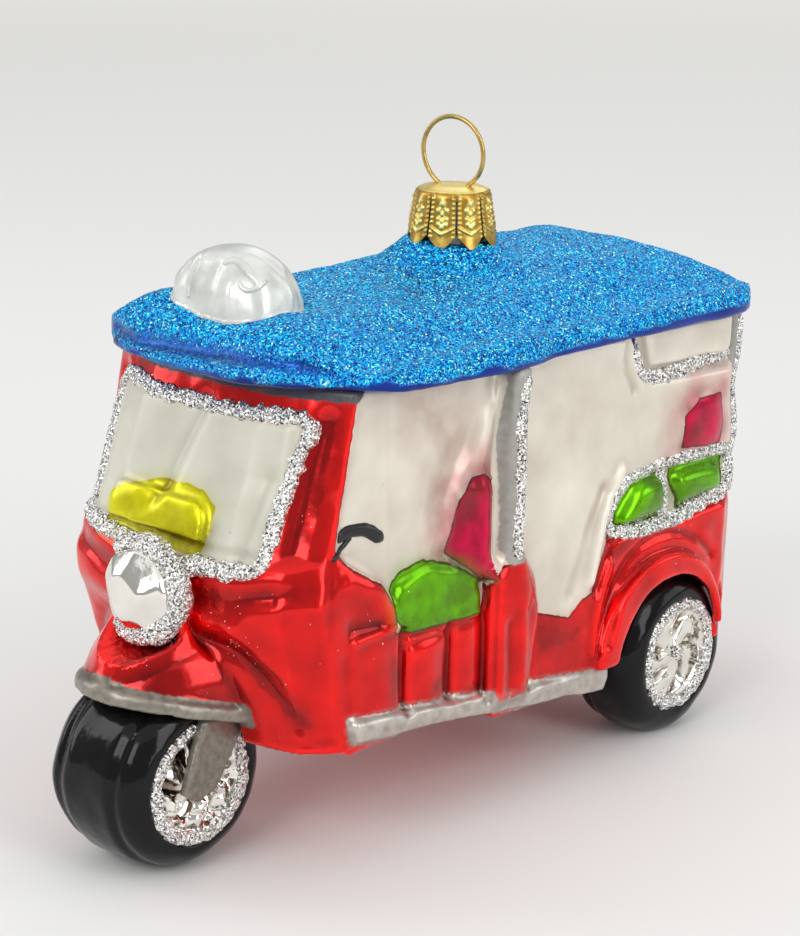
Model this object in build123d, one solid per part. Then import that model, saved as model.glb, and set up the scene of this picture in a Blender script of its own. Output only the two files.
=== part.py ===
"""A blown-glass hanging ornament in the form of a three-wheeled taxi, with its crown cap and wire ring."""

import os
from math import asin, cos, degrees, pi, radians, sin, sqrt

from build123d import (
    Axis,
    Box,
    Circle,
    Cone,
    Cylinder,
    Ellipse,
    Line,
    Plane,
    Polyline,
    Pos,
    Rot,
    Sphere,
    ThreePointArc,
    Torus,
    export_step,
    extrude,
    fillet,
    loft,
    make_face,
    mirror,
    revolve,
)

# Wheels. The wheelbase is the driving length of the ornament.
wheelbase = 80.2
front_axle_y = -39.4
rear_axle_y = front_axle_y + wheelbase
wheel_radius = 12.2
front_half_width = 8.3
rear_inner_x = 11.4
rear_outer_x = 23.4
rim_radius = 8.1
rim_depth = 2.2
rim_dish = 0.9
rim_lip = 1.1
hub_radius = 2.2
spoke_count = 6
spoke_hole = 1.25
spoke_hole_r = 4.7
tread_flat = 0.42

# Fork legs and the front mudguard with its silver bead.
fork_thick = 1.5
guard_rear_y = -32.4
guard_rear_z = 19.2
guard_tilt = 15.0
guard_half_width = 12.4
guard_length = 18.0
guard_rise = 11.0
bead_width = 2.2
bead_height = 1.9

# Front shell: height, half width, back, side, corner and nose of each level.
shell_levels = (
    (16.8, 22.2, -26.0, -28.6, -31.9, -35.5),
    (27.0, 21.9, -27.0, -30.0, -34.3, -38.6),
    (36.5, 22.0, -29.4, -32.3, -36.6, -39.6),
    (43.0, 21.9, -30.2, -31.4, -34.9, -36.3),
    (62.0, 21.6, -26.2, -26.8, -28.2, -29.7),
    (64.0, 21.5, -25.8, -26.4, -27.6, -29.1),
)
shell_corner = 3.7
wheel_well_x = 10.4
wheel_well_gap = 1.4

# Windscreen with its raised border, and the plate behind the glass.
screen_proud = 0.5
trim_proud = 1.3
plate_proud = 1.6
screen_top_z = 57.6
screen_low_z = 42.6
screen_top_x = 14.9
screen_low_x = 15.5
trim_width = 2.2
plate_x = (-11.6, 5.9)
plate_z = (40.6, 47.2)

# Headlight.
lamp_z = 34.4
lamp_y = -42.8
lamp_radius = 4.9
lamp_bulge = 2.6
lamp_ring = 1.2

# Cabin plan: distance along, half width.
cabin_plan = ((-20.0, 21.5), (1.0, 21.8), (21.0, 23.4), (49.5, 23.9), (53.0, 22.2), (54.6, 18.6))
cabin_low_z = 16.0
cabin_recess = 0.4

# Roof: plan, side outline and end outline.
roof_half_width = 25.4
roof_nose_y = -35.0
roof_rear_y = 55.6
roof_low_z = 61.4
roof_low_front_z = 62.9
roof_crest_z = 70.4
roof_shoulder = (21.5, 64.8)
mound_radius = 11.0
mound_top_radius = 5.9
mound_top_z = 72.5
mound_rise = 3.4
roof_rear_corner = 7.0

# Sign on the roof, blank: height above its base, half width, half depth.
sign_y = -24.4
sign_base_z = 68.0
sign_levels = ((0.0, 10.0, 7.0), (4.5, 9.3, 6.3), (7.4, 7.0, 4.7), (9.1, 3.4, 2.3))

# Relief forms on each side.
relief_inner_x = 15.0
box_outer_x = 22.4
box_back_x = 21.5
# Side boxes: front, rear, top.
side_boxes = ((-27.6, -18.2, 31.2), (-17.3, -9.4, 28.0), (-8.5, -1.0, 28.6))
box_low_z = 16.0
hump_outer_x = 22.2
hump_outline = (
    (-30.4, 30.0),
    (-30.4, 42.4),
    (-28.2, 40.8),
    (-22.2, 37.6),
    (-19.2, 33.4),
    (-19.4, 30.0),
)
cushion_outline = (
    (-20.2, 33.4),
    (-19.0, 36.6),
    (-13.6, 37.9),
    (-5.2, 35.6),
    (-1.6, 31.6),
    (-2.4, 29.0),
    (-16.8, 29.4),
)
seat_y = (-8.2, -0.3)
seat_z = (33.0, 47.8)
sill_x = (18.0, 23.6)
sill_front = (-27.6, 21.0)
sill_rear = (23.6, 14.2)
sill_height = 2.7
post_x = (20.5, 25.0)
post_y = (-0.4, 3.3)
post_z = (34.0, 61.8)
foot_outline = (
    (-2.4, 16.0),
    (-2.4, 34.2),
    (-0.8, 35.6),
    (4.2, 35.4),
    (6.6, 32.0),
    (7.6, 26.0),
    (5.4, 16.0),
)
foot_x = (20.0, 24.7)

# Rear body, its wheel arches and the lips around them.
rear_body_x = 24.0
rear_body_low_z = 12.8
rear_body_top_z = 35.4
door_low_z = 25.0
arch_y = 36.0
arch_z = 13.3
arch_radius = 12.2
lip_y = 34.4
lip_z = 14.3
lip_radius = 14.6
lip_outer_x = 25.3

# Side windows and the border lines on the rear quarter.
pane_x = (22.0, 24.3)
line_outer_x = 24.9
window_outer = (
    (21.8, 36.0),
    (27.4, 41.7),
    (50.2, 41.2),
    (51.2, 33.8),
    (37.5, 33.0),
    (22.9, 33.2),
)
pane_front = ((24.8, 35.0), (29.0, 39.9), (35.0, 39.8), (35.4, 34.9))
pane_rear = ((37.8, 39.7), (48.2, 39.3), (48.8, 35.6), (38.2, 35.2))
upper_outer = ((26.0, 62.0), (28.0, 57.2), (29.6, 54.3), (50.0, 53.5), (51.4, 55.6), (51.4, 62.0))
upper_inner = ((28.8, 62.0), (30.4, 56.6), (31.2, 56.3), (48.4, 55.7), (49.2, 56.6), (49.2, 62.0))
seat_patch = ((37.9, 47.0), (39.1, 49.8), (45.6, 50.0), (47.0, 46.2), (45.6, 43.2), (39.4, 43.2))
rear_pane_x = 13.6
rear_pane_z = (42.5, 54.5)
rear_y = 54.6

# Neck, cap and ring.
neck_y = 15.4
neck_radius = 4.9
neck_bore = 4.1
neck_top_z = 79.3
neck_floor_z = 71.6
neck_low_z = 66.0
cap_wall = 0.35
cap_gap = 0.15
cap_low_z = 73.0
cap_flare = 6.35
cap_tabs = 9
cap_hole = 1.1
wire = 0.64
ring_radius = 4.6
ring_z = 84.7
ring_turn = 20.0
leg_x = 2.15
leg_low_z = 73.2

small = 0.01
reach = 80.0


def side_prism(points, x0, x1):
    """A prism along X of a closed outline of (y, z) points."""
    line = Polyline(*[(x0, y, z) for y, z in points], close=True)
    return extrude(make_face(line), amount=x1 - x0, dir=(1, 0, 0))


def front_prism(points, y0, y1):
    """A prism along Y of a closed outline of (x, z) points."""
    line = Polyline(*[(x, y0, z) for x, z in points], close=True)
    return extrude(make_face(line), amount=y1 - y0, dir=(0, 1, 0))


def block(x, y, z, round_by=0.0):
    """A box between two limits on each axis, with its edges rounded."""
    mid = [(a + b) / 2 for a, b in (x, y, z)]
    solid = Pos(*mid) * Box(x[1] - x[0], y[1] - y[0], z[1] - z[0])
    return fillet(solid.edges(), round_by) if round_by else solid


def disc(x0, x1, y, z, radius):
    """A cylinder along X."""
    return Pos((x0 + x1) / 2, y, z) * Rot(0, 90, 0) * Cylinder(radius, x1 - x0)


def largest(shape):
    """The largest solid of a shape."""
    return shape.solids().sort_by(lambda solid: solid.volume)[-1]


def both(shape):
    """A shape with its mirror image on the other side."""
    return [shape, mirror(shape, Plane.YZ)]


def wheel(x0, x1, y, open_sides):
    """A tyre as one solid with a pocket on each open side for its rim."""
    mid, half = (x0 + x1) / 2, (x1 - x0) / 2
    flat = half * tread_flat
    full, shoulder, wall = wheel_radius, wheel_radius - 1.3, wheel_radius - 3.2
    edge = [
        Line((mid - half, 0, 0), (mid - half, 0, wall)),
        ThreePointArc((mid - half, 0, wall), (mid - half * 0.84, 0, shoulder), (mid - flat, 0, full)),
        Line((mid - flat, 0, full), (mid + flat, 0, full)),
        ThreePointArc((mid + flat, 0, full), (mid + half * 0.84, 0, shoulder), (mid + half, 0, wall)),
        Line((mid + half, 0, wall), (mid + half, 0, 0)),
        Line((mid + half, 0, 0), (mid - half, 0, 0)),
    ]
    solid = Pos(0, y, wheel_radius) * revolve(make_face(edge), Axis.X)
    for side in open_sides:
        face = x1 if side > 0 else x0
        inner = face - side * rim_depth
        solid -= disc(min(inner, face + side), max(inner, face + side), y, wheel_radius, rim_radius)
    return solid


def rim(face, y):
    """A dished rim on the +X side, with round pockets between its spokes."""
    outer = face - 0.3
    floor_x = outer - rim_dish
    solid = disc(face - rim_depth, outer, y, wheel_radius, rim_radius)
    solid -= disc(floor_x, outer + 1, y, wheel_radius, rim_radius - rim_lip)
    solid += disc(floor_x, outer, y, wheel_radius, hub_radius)
    for index in range(spoke_count):
        pocket = Pos(0, 0, spoke_hole_r) * Rot(0, 90, 0) * Cylinder(spoke_hole, 2.0)
        turn = Rot(index * 360 / spoke_count, 0, 0)
        solid -= Pos(outer - 0.9, y, wheel_radius) * turn * pocket
    return solid


def shell_level(z, half, back, side, corner, nose, shift):
    """One level of the front shell, with a bowed nose."""
    x, y, tip = half - shell_corner, corner - shift, nose - shift
    outline = [
        Line((-half, back, z), (half, back, z)),
        Line((half, back, z), (half, side, z)),
        Line((half, side, z), (x, y, z)),
        ThreePointArc((x, y, z), (0, tip, z), (-x, y, z)),
        Line((-x, y, z), (-half, side, z)),
        Line((-half, side, z), (-half, back, z)),
    ]
    return make_face(outline)


def shell_form(shift=0.0):
    """The front shell, with its face moved forward to raise what lies on it."""
    return loft([shell_level(*level, shift) for level in shell_levels], ruled=True)


def trapezoid(low_x, top_x, low_z, top_z, grow=0.0):
    """An outline of (x, z) points, grown all round."""
    low, top = low_z - grow, top_z + grow
    return ((-low_x - grow, low), (low_x + grow, low), (top_x + grow, top), (-top_x - grow, top))


nodes = {}

# Wheels.
nodes["front_tyre"] = wheel(-front_half_width, front_half_width, front_axle_y, (1, -1))
rear_tyre = wheel(rear_inner_x, rear_outer_x, rear_axle_y, (1,))
front_rim = rim(front_half_width, front_axle_y)
rear_rim = rim(rear_outer_x, rear_axle_y)
tyre_form = disc(-front_half_width, front_half_width, front_axle_y, wheel_radius, wheel_radius + small)

# Front shell with the wheel well let into it.
shell_full = shell_form()
well = disc(-wheel_well_x, wheel_well_x, front_axle_y, wheel_radius, wheel_radius + wheel_well_gap)

# Roof from its side, end and plan outlines.
nose = roof_nose_y + 0.4
side = [
    Line((0, nose, roof_low_front_z), (0, nose, 64.4)),
    ThreePointArc((0, nose, 64.4), (0, -31.4, 67.6), (0, -23.0, 69.2)),
    ThreePointArc((0, -23.0, 69.2), (0, -12.0, 68.8), (0, -2.0, 69.2)),
    ThreePointArc((0, -2.0, 69.2), (0, 17.0, roof_crest_z), (0, 38.0, 70.0)),
    ThreePointArc((0, 38.0, 70.0), (0, 51.0, 67.6), (0, roof_rear_y, roof_low_z)),
    Line((0, roof_rear_y, roof_low_z), (0, -14.0, roof_low_z)),
    Line((0, -14.0, roof_low_z), (0, nose, roof_low_front_z)),
]
eave, lip = roof_half_width - 0.8, (roof_half_width, 0, 62.8)
shoulder_x, shoulder_z = roof_shoulder
end = [
    Line((-eave, 0, 60), (eave, 0, 60)),
    ThreePointArc((eave, 0, 60), lip, (shoulder_x, 0, shoulder_z)),
    ThreePointArc((shoulder_x, 0, shoulder_z), (0, 0, roof_crest_z), (-shoulder_x, 0, shoulder_z)),
    ThreePointArc((-shoulder_x, 0, shoulder_z), (-lip[0], 0, lip[2]), (-eave, 0, 60)),
]
wide = roof_half_width
plan = [
    ThreePointArc((wide, -19.0, 55), (21.4, -29.4, 55), (13.0, -33.6, 55)),
    ThreePointArc((13.0, -33.6, 55), (0, roof_nose_y, 55), (-13.0, -33.6, 55)),
    ThreePointArc((-13.0, -33.6, 55), (-21.4, -29.4, 55), (-wide, -19.0, 55)),
    Line((-wide, -19.0, 55), (-wide, roof_rear_y, 55)),
    Line((-wide, roof_rear_y, 55), (wide, roof_rear_y, 55)),
    Line((wide, roof_rear_y, 55), (wide, -19.0, 55)),
]
roof_plan = extrude(make_face(plan), amount=25, dir=(0, 0, 1))
corners = roof_plan.edges().filter_by(Axis.Z).sort_by(Axis.Y)[-2:]
roof_plan = fillet(corners, roof_rear_corner)
roof_side = extrude(Pos(-30, 0, 0) * make_face(side), amount=60, dir=(1, 0, 0))
roof_end = extrude(Pos(0, -60, 0) * make_face(end), amount=120, dir=(0, 1, 0))
roof_form = roof_side & roof_end & roof_plan
mound = Pos(0, neck_y, mound_top_z - mound_rise / 2) * Cone(mound_radius, mound_top_radius, mound_rise)
roof_form = roof_form + mound
bore = Pos(0, neck_y, neck_floor_z + 10.0) * Cylinder(neck_bore, 20.0)
neck = Pos(0, neck_y, (neck_top_z + neck_low_z) / 2) * Cylinder(neck_radius, neck_top_z - neck_low_z)
roof = roof_form - bore
nodes["roof"] = roof
nodes["neck"] = (neck - roof_form - bore).solids().sort_by(Axis.Z)[-1]
sign = loft([Pos(0, sign_y, sign_base_z + h) * Ellipse(a, b) for h, a, b in sign_levels])
nodes["roof_sign"] = sign - roof

# Mudguard on its tilted seat.
tilt = radians(guard_tilt)
seat = Plane(origin=(0, guard_rear_y, guard_rear_z), x_dir=(1, 0, 0), z_dir=(0, sin(tilt), cos(tilt)))
guard_levels = ((bead_height, 0.9, 0.9), (guard_rise * 0.6, 1.2, 2.8), (guard_rise, 4.2, 6.4))
guard = loft(
    [
        seat * Pos(0, 0, h) * Ellipse(guard_half_width - dx, guard_length - dy)
        for h, dx, dy in guard_levels
    ]
)
bead = extrude(seat * Ellipse(guard_half_width, guard_length), bead_height)
hollow = extrude(seat * Ellipse(guard_half_width - bead_width, guard_length - bead_width), bead_height)
front_half = block((-reach, reach), (-reach, guard_rear_y + 3.0), (0, reach))
guard = (guard & front_half) + ((hollow & front_half) - well)
bead = (bead - hollow) & front_half

# Windscreen, border, plate and headlight.
screen_size = (screen_low_x, screen_top_x, screen_low_z, screen_top_z)
screen_cut = front_prism(trapezoid(*screen_size), -60, -24)
border_cut = front_prism(trapezoid(*screen_size, trim_width), -60, -24)
raised_screen = shell_form(screen_proud)
raised_trim = shell_form(trim_proud)
raised_plate = shell_form(plate_proud)
screen = (raised_screen & screen_cut) - shell_full
trim = ((raised_trim & border_cut) - screen_cut) - shell_full
plate = block(plate_x, (-60, -24), plate_z)
plate = fillet(plate.edges().filter_by(Axis.Y).sort_by(Axis.Z)[2:], 2.4)
plate = (raised_plate & plate & screen_cut) - raised_screen
along_y = Rot(90, 0, 0)
bowl = (lamp_radius**2 + lamp_bulge**2) / (2 * lamp_bulge)
lens = Pos(0, lamp_y + bowl - lamp_bulge, lamp_z) * Sphere(bowl)
lens = lens & Pos(0, lamp_y, lamp_z) * along_y * Cylinder(lamp_radius, 12.0)
lens = lens & block((-20, 20), (-60, lamp_y + 1.2), (0, 60))
lamp = Pos(0, lamp_y + 0.8, lamp_z) * along_y * Torus(lamp_radius + 0.5, lamp_ring)
lamp_body = Pos(0, lamp_y + 5.3, lamp_z) * along_y * Cylinder(lamp_radius + 1.0, 9.4)
lamp = largest(lamp + lamp_body - lens - shell_full - trim - screen)

shell = shell_full - well - roof
tyre_cut = nodes["front_tyre"] + tyre_form
guard = largest(guard - shell - tyre_cut - bead - lens - lamp)
bead = largest(bead - shell - tyre_cut)
fork_outline = (
    (front_axle_y + 6.0, 20.4),
    (front_axle_y + 0.6, 21.4),
    (front_axle_y - 2.4, 12.0),
    (front_axle_y - 0.8, 10.4),
    (front_axle_y + 1.6, 11.4),
)
fork = side_prism(fork_outline, front_half_width, front_half_width + fork_thick)
fork = (fork - bead - guard - shell).solids().sort_by(Axis.Z)[0]
nodes["front_shell"] = shell
nodes["mudguard"] = guard
nodes["mudguard_edge"] = bead
nodes["windscreen"] = screen
nodes["windscreen_trim"] = trim
nodes["number_plate"] = plate - lamp
nodes["headlight_lens"] = lens
nodes["headlight_trim"] = lamp

# Relief forms of the near side; the far side is their mirror image.
boxes = block((relief_inner_x, box_back_x), (-27.6, -0.4), (box_low_z, 27.6))
for front, rear_end, top in side_boxes:
    boxes += block((relief_inner_x, box_outer_x), (front, rear_end), (box_low_z, top), 0.7)
sill_outline = (
    sill_front,
    sill_rear,
    (sill_rear[0] - 0.6, sill_rear[1] - sill_height),
    (sill_front[0] + 0.6, sill_front[1] - sill_height),
)
arch = disc(rear_inner_x, 40, arch_y, arch_z, arch_radius)
pocket = disc(rear_inner_x, rear_outer_x + 0.3, rear_axle_y, wheel_radius, wheel_radius + 0.4)
sill = side_prism(sill_outline, *sill_x) - shell_full - pocket - arch
foot = side_prism(foot_outline, *foot_x)
foot = fillet(foot.faces().sort_by(Axis.X)[-1].edges(), 1.2) - sill
post = block(post_x, post_y, post_z, 0.9) - foot - roof
hump = side_prism(hump_outline, relief_inner_x, hump_outer_x)
cushion = side_prism(cushion_outline, relief_inner_x, 22.6)
cushion = fillet(cushion.faces().sort_by(Axis.X)[-1].edges(), 1.2)
seat_back = block((relief_inner_x, 22.5), seat_y, seat_z, 2.2) - foot - post
boxes = largest(boxes - sill - foot - shell_full - post)
cushion = largest(cushion - seat_back - boxes - foot)
seat_back = largest(seat_back - boxes)
hump = largest(hump - boxes - shell_full - cushion)
grip = Pos(20.4, -24.2, 43.6) * Rot(12, 0, 0) * along_y * Cylinder(0.8, 6.6)
grip += Pos(19.6, -26.9, 44.0) * Rot(0, 90, 0) * Cylinder(0.9, 3.4)
grip = largest(grip - hump - shell_full)

window_front = side_prism(pane_front, *pane_x)
window_rear = side_prism(pane_rear, *pane_x)
window_trim = side_prism(window_outer, pane_x[0], line_outer_x)
window_trim -= side_prism(pane_front, 0, 40) + side_prism(pane_rear, 0, 40)
upper_trim = side_prism(upper_outer, pane_x[0], line_outer_x) - side_prism(upper_inner, 0, 40) - roof
rear_seat = side_prism(seat_patch, 19.0, 24.6)
arch_lip = disc(22.0, lip_outer_x, lip_y, lip_z, lip_radius)
arch_lip &= block((22.0, lip_outer_x), (0, 48.6), (15.4, 40.0))
arch_lip = arch_lip - arch - pocket - window_trim
reliefs = {
    "side_boxes": boxes,
    "hump": hump,
    "cushion": cushion,
    "seat_back": seat_back,
    "grip": grip,
    "pillar": post,
    "pillar_foot": foot,
    "sill": sill,
    "window_front": window_front,
    "window_rear": window_rear,
    "window_trim": window_trim,
    "upper_trim": upper_trim,
    "rear_seat": rear_seat,
    "arch_lip": arch_lip,
}

# Rear body, floor and cabin: what is left between the other forms.
body_outline = (
    (1.0, rear_body_low_z),
    (rear_y, rear_body_low_z),
    (rear_y, rear_body_top_z),
    (23.6, rear_body_top_z),
    (22.6, 32.8),
    (21.0, 28.6),
    (18.0, door_low_z),
    (1.0, door_low_z),
)
plan_points = [(x, y) for y, x in cabin_plan] + [(-x, y) for y, x in reversed(cabin_plan)]
plan_line = Polyline(*[(x, y, 0) for x, y in plan_points], close=True)
plan_form = extrude(make_face(plan_line), amount=64.0, dir=(0, 0, 1))
rear = side_prism(body_outline, -rear_body_x, rear_body_x) & plan_form
floor_outline = ((-26.0, 19.4), (22.0, 12.8), (1.0, 17.6), (-26.0, 21.0))
floor = side_prism(floor_outline, -sill_x[0] - 1.0, sill_x[0] + 1.0) - rear - shell_full
bay = []
for level in shell_levels:
    z, half = level[0], level[1] - cabin_recess
    bay.append(shell_level(z, half, -19.0, level[3], level[4], level[5], 0.0))
cabin = (plan_form & block((-reach, reach), (-reach, reach), (cabin_low_z, 64.0))) + loft(bay, ruled=True)
cabin = cabin - shell_full - roof_form - rear
for name, solid in reliefs.items():
    for shape in both(solid):
        cabin -= shape
        rear -= shape
        floor -= shape
for shape in both(arch) + both(pocket):
    rear -= shape
cabin = cabin - floor
nodes["cabin"] = largest(cabin)
nodes["rear_body"] = largest(rear)
nodes["floor"] = largest(floor)

# Rear window and its border, on the back of the cabin.
pane_cut = block((-rear_pane_x, rear_pane_x), (rear_y - 5, rear_y + 5), rear_pane_z)
pane_box = block((-rear_pane_x, rear_pane_x), (rear_y, rear_y + 0.5), rear_pane_z)
line_x = rear_pane_x + line_outer_x - pane_x[1] + 1.2
line_z = (rear_pane_z[0] - 1.8, rear_pane_z[1] + 1.8)
nodes["rear_window"] = pane_box
nodes["rear_trim"] = block((-line_x, line_x), (rear_y, rear_y + 0.9), line_z) - pane_cut

pairs = {"rear_tyre": rear_tyre, "front_rim": front_rim, "rear_rim": rear_rim, "fork": fork}
for name, solid in (reliefs | pairs).items():
    nodes[name + "_left"], nodes[name + "_right"] = both(solid)

# Crown cap with pointed tabs, standing on the neck.
cap_inner = neck_radius + cap_gap
cap_top_z = neck_top_z + cap_wall
flare_z = cap_low_z + 3.0
cap_profile = Polyline(
    (0, 0, neck_top_z),
    (cap_inner, 0, neck_top_z),
    (cap_inner, 0, flare_z),
    (cap_flare - cap_wall, 0, cap_low_z),
    (cap_flare, 0, cap_low_z),
    (cap_inner + cap_wall, 0, flare_z),
    (cap_inner + cap_wall, 0, cap_top_z - 0.5),
    (cap_inner + cap_wall - 0.5, 0, cap_top_z),
    (0, 0, cap_top_z),
    close=True,
)
at_neck = Pos(0, neck_y, 0)
cap = at_neck * revolve(make_face(cap_profile), Axis.Z)
tab_half = pi * cap_flare / cap_tabs * 0.9
notch_outline = ((-tab_half, cap_low_z - 1), (0, cap_low_z + 2.6), (tab_half, cap_low_z - 1))
for index in range(cap_tabs):
    cap -= at_neck * Rot(0, 0, index * 360 / cap_tabs) * side_prism(notch_outline, 3.0, 9.0)
turned = at_neck * Rot(0, 0, ring_turn)
for side_x in (-leg_x, leg_x):
    cap -= turned * Pos(side_x, 0, cap_top_z) * Cylinder(cap_hole / 2, 4.0)
nodes["cap"] = cap

# Wire ring with its two legs down through the cap.
half_gap = degrees(asin(leg_x / ring_radius))
leg_top_z = ring_z - sqrt(ring_radius**2 - leg_x**2)
hoop = revolve(Pos(ring_radius, 0, 0) * Circle(wire / 2), Axis.Y, revolution_arc=360 - 2 * half_gap)
hoop = Pos(0, 0, ring_z) * Rot(0, 90 + half_gap, 0) * hoop
for side_x in (-leg_x, leg_x):
    leg = Pos(side_x, 0, (leg_top_z + leg_low_z) / 2) * Cylinder(wire / 2, leg_top_z - leg_low_z)
    hoop = hoop + leg + Pos(side_x, 0, leg_top_z) * Sphere(wire * 0.53)
nodes["hanger_wire"] = turned * hoop

# The origin goes to the floor under the middle of the whole length.
middle_y = (front_axle_y - wheel_radius + roof_rear_y) / 2
os.makedirs("parts", exist_ok=True)
for name, solid in nodes.items():
    placed = Pos(0, -middle_y, 0) * solid
    placed.label = name
    export_step(placed, f"parts/{name}.step")
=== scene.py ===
"""Blown-glass three-wheeled taxi ornament: glass forms, lacquers, glitter, crown cap and wire ring."""

import logging
import math
from collections.abc import Callable, Iterable, Sequence
from dataclasses import dataclass
from enum import Enum

import bmesh
import bpy
import numpy as np
from mathutils import Matrix, Vector
from mathutils.bvhtree import BVHTree


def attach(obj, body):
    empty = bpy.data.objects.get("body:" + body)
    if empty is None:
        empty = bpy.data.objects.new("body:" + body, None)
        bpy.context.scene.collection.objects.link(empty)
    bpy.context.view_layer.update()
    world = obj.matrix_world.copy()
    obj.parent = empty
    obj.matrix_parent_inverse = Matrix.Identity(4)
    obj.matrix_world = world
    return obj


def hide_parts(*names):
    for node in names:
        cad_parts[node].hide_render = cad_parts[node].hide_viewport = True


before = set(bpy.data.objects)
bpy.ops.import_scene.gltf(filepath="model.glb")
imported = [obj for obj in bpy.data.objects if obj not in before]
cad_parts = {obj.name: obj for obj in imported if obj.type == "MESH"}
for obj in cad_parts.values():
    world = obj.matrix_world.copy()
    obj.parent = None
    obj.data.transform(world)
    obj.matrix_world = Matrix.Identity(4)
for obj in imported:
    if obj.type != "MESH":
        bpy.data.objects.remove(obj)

MM = 0.001
MIDDLE_Y = 2.0
FAR = 99.0

Colour = tuple[float, float, float]
Outline = tuple[tuple[float, float], ...]
Faces = list[list[int]]
Form = tuple[np.ndarray, Faces]
Value = "float | Wire"

log = logging.getLogger("ornament")


# ---------------------------------------------------------------- geometry


def line(*numbers: float) -> Outline:
    """Pairs numbers into the points of a drawn line."""
    return tuple(zip(numbers[::2], numbers[1::2]))


def both(name: str) -> tuple[str, str]:
    """Returns the names of the two pieces of a pair."""
    return name + "_left", name + "_right"


def ramp(values: np.ndarray, span: float) -> np.ndarray:
    """Rises from 0 at nought to 1 at a span, and stays level beyond."""
    return np.clip(values / span, 0, 1)


def bell(values: np.ndarray, width: float = 1.0) -> np.ndarray:
    """Rises to 1 at nought and dies away over a width either side."""
    share = values / width
    return np.exp(-share * share)


def circle(count: int) -> np.ndarray:
    """Returns a number of even angles round a circle."""
    return np.linspace(0, 2 * math.pi, count, endpoint=False)


def drawn(mesh: bpy.types.Mesh) -> np.ndarray:
    """Reads a mesh's points, from metres in the frame into drawn millimetres."""
    points = np.empty(len(mesh.vertices) * 3, np.float32)
    mesh.vertices.foreach_get("co", points)
    return points.reshape(-1, 3).astype(float) / MM + (0.0, MIDDLE_Y, 0.0)


def placed(points: np.ndarray) -> np.ndarray:
    """Turns drawn millimetres into metres in the frame."""
    return (np.asarray(points, float) - (0.0, MIDDLE_Y, 0.0)) * MM


def normals_of(mesh: bpy.types.Mesh) -> np.ndarray:
    """Reads a mesh's point normals, one row each."""
    rows = np.empty(len(mesh.vertices) * 3, np.float32)
    mesh.vertex_normals.foreach_get("vector", rows)
    return rows.reshape(-1, 3).astype(float)


def reshaped(mesh: bpy.types.Mesh, points: np.ndarray) -> np.ndarray:
    """Moves a mesh's points to drawn places and returns its new normals."""
    mesh.vertices.foreach_set("co", placed(points).ravel())
    mesh.update()
    return normals_of(mesh)


def faces_of(mesh: bpy.types.Mesh) -> np.ndarray:
    """Reads the corners of a mesh that has only four-sided faces, one row each."""
    rows = np.empty(len(mesh.loops), np.int32)
    mesh.loops.foreach_get("vertex_index", rows)
    return rows.reshape(-1, 4)


def relaxed(points: np.ndarray, faces: np.ndarray, share: np.ndarray, rounds: int) -> np.ndarray:
    """Draws points towards their neighbours, to melt hard edges.

    Args:
        points: A skin's points.
        faces: Its four-sided faces.
        share: How strongly each point gives way, from 0 to 1.
        rounds: How many times.

    Returns:
        The points.
    """
    first, second = faces.ravel(), np.roll(faces, -1, axis=1).ravel()
    size = len(points)
    count = np.bincount(first, minlength=size) + np.bincount(second, minlength=size)
    moved = points.copy()
    for _ in range(rounds):
        for axis in range(3):
            near = np.bincount(first, moved[second, axis], size) + np.bincount(second, moved[first, axis], size)
            moved[:, axis] += 0.5 * share * (near / count - moved[:, axis])
    return moved


def turned_out(points: np.ndarray, faces: Sequence) -> Faces:
    """Turns the faces of a closed form outwards.

    Args:
        points: The form's points.
        faces: Corner indices of each face.

    Returns:
        The faces.
    """
    corners = faces.tolist() if isinstance(faces, np.ndarray) else faces
    thirds = np.array([(face[0], *face[k : k + 2]) for face in corners for k in range(1, len(face) - 1)])
    first, second, third = points[thirds].transpose(1, 0, 2)
    volume = np.einsum("ij,ij->", first, np.cross(second, third))
    return [face[::-1] for face in corners] if volume < 0 else corners


def make_object(
    name: str,
    points: np.ndarray,
    faces: Sequence,
    material: bpy.types.Material,
    smooth: bool | np.ndarray = True,
    closed: bool = True,
    **values: np.ndarray,
) -> bpy.types.Object:
    """Makes an object from drawn points.

    Args:
        name: The piece's name.
        points: Points in drawn millimetres.
        faces: Corner indices of each face.
        material: What it is finished with.
        smooth: Whether its faces shade as one smooth surface, for all or for each.
        closed: Whether its faces close a form, and so are turned outwards.
        **values: Numbers stored on its points, under names that its finish reads.

    Returns:
        The object, linked to the scene.
    """
    mesh = bpy.data.meshes.new(name)
    corners = turned_out(points, faces) if closed else np.asarray(faces).tolist()
    mesh.from_pydata(placed(points).tolist(), [], corners)
    mesh.polygons.foreach_set("use_smooth", np.full(len(mesh.polygons), smooth))
    mesh.update()
    mesh.materials.append(material)
    for key, rows in values.items():
        layer = mesh.attributes.new(key, "FLOAT", "POINT")
        layer.data.foreach_set("value", np.asarray(rows, np.float32))
    made = bpy.data.objects.new(name, mesh)
    bpy.context.scene.collection.objects.link(made)
    return made


def set_piece(piece: bpy.types.Object, body: str, slot: str, *nodes: str) -> None:
    """Puts a finished piece on its body.

    Args:
        piece: The piece.
        body: The body it moves with.
        slot: The material slot it takes its finish from; it is not used.
        *nodes: The solids it stands for.
    """
    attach(piece, body)
    if nodes:
        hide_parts(*nodes)
    log.info("%s rides on %s", piece.name, body)


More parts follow.
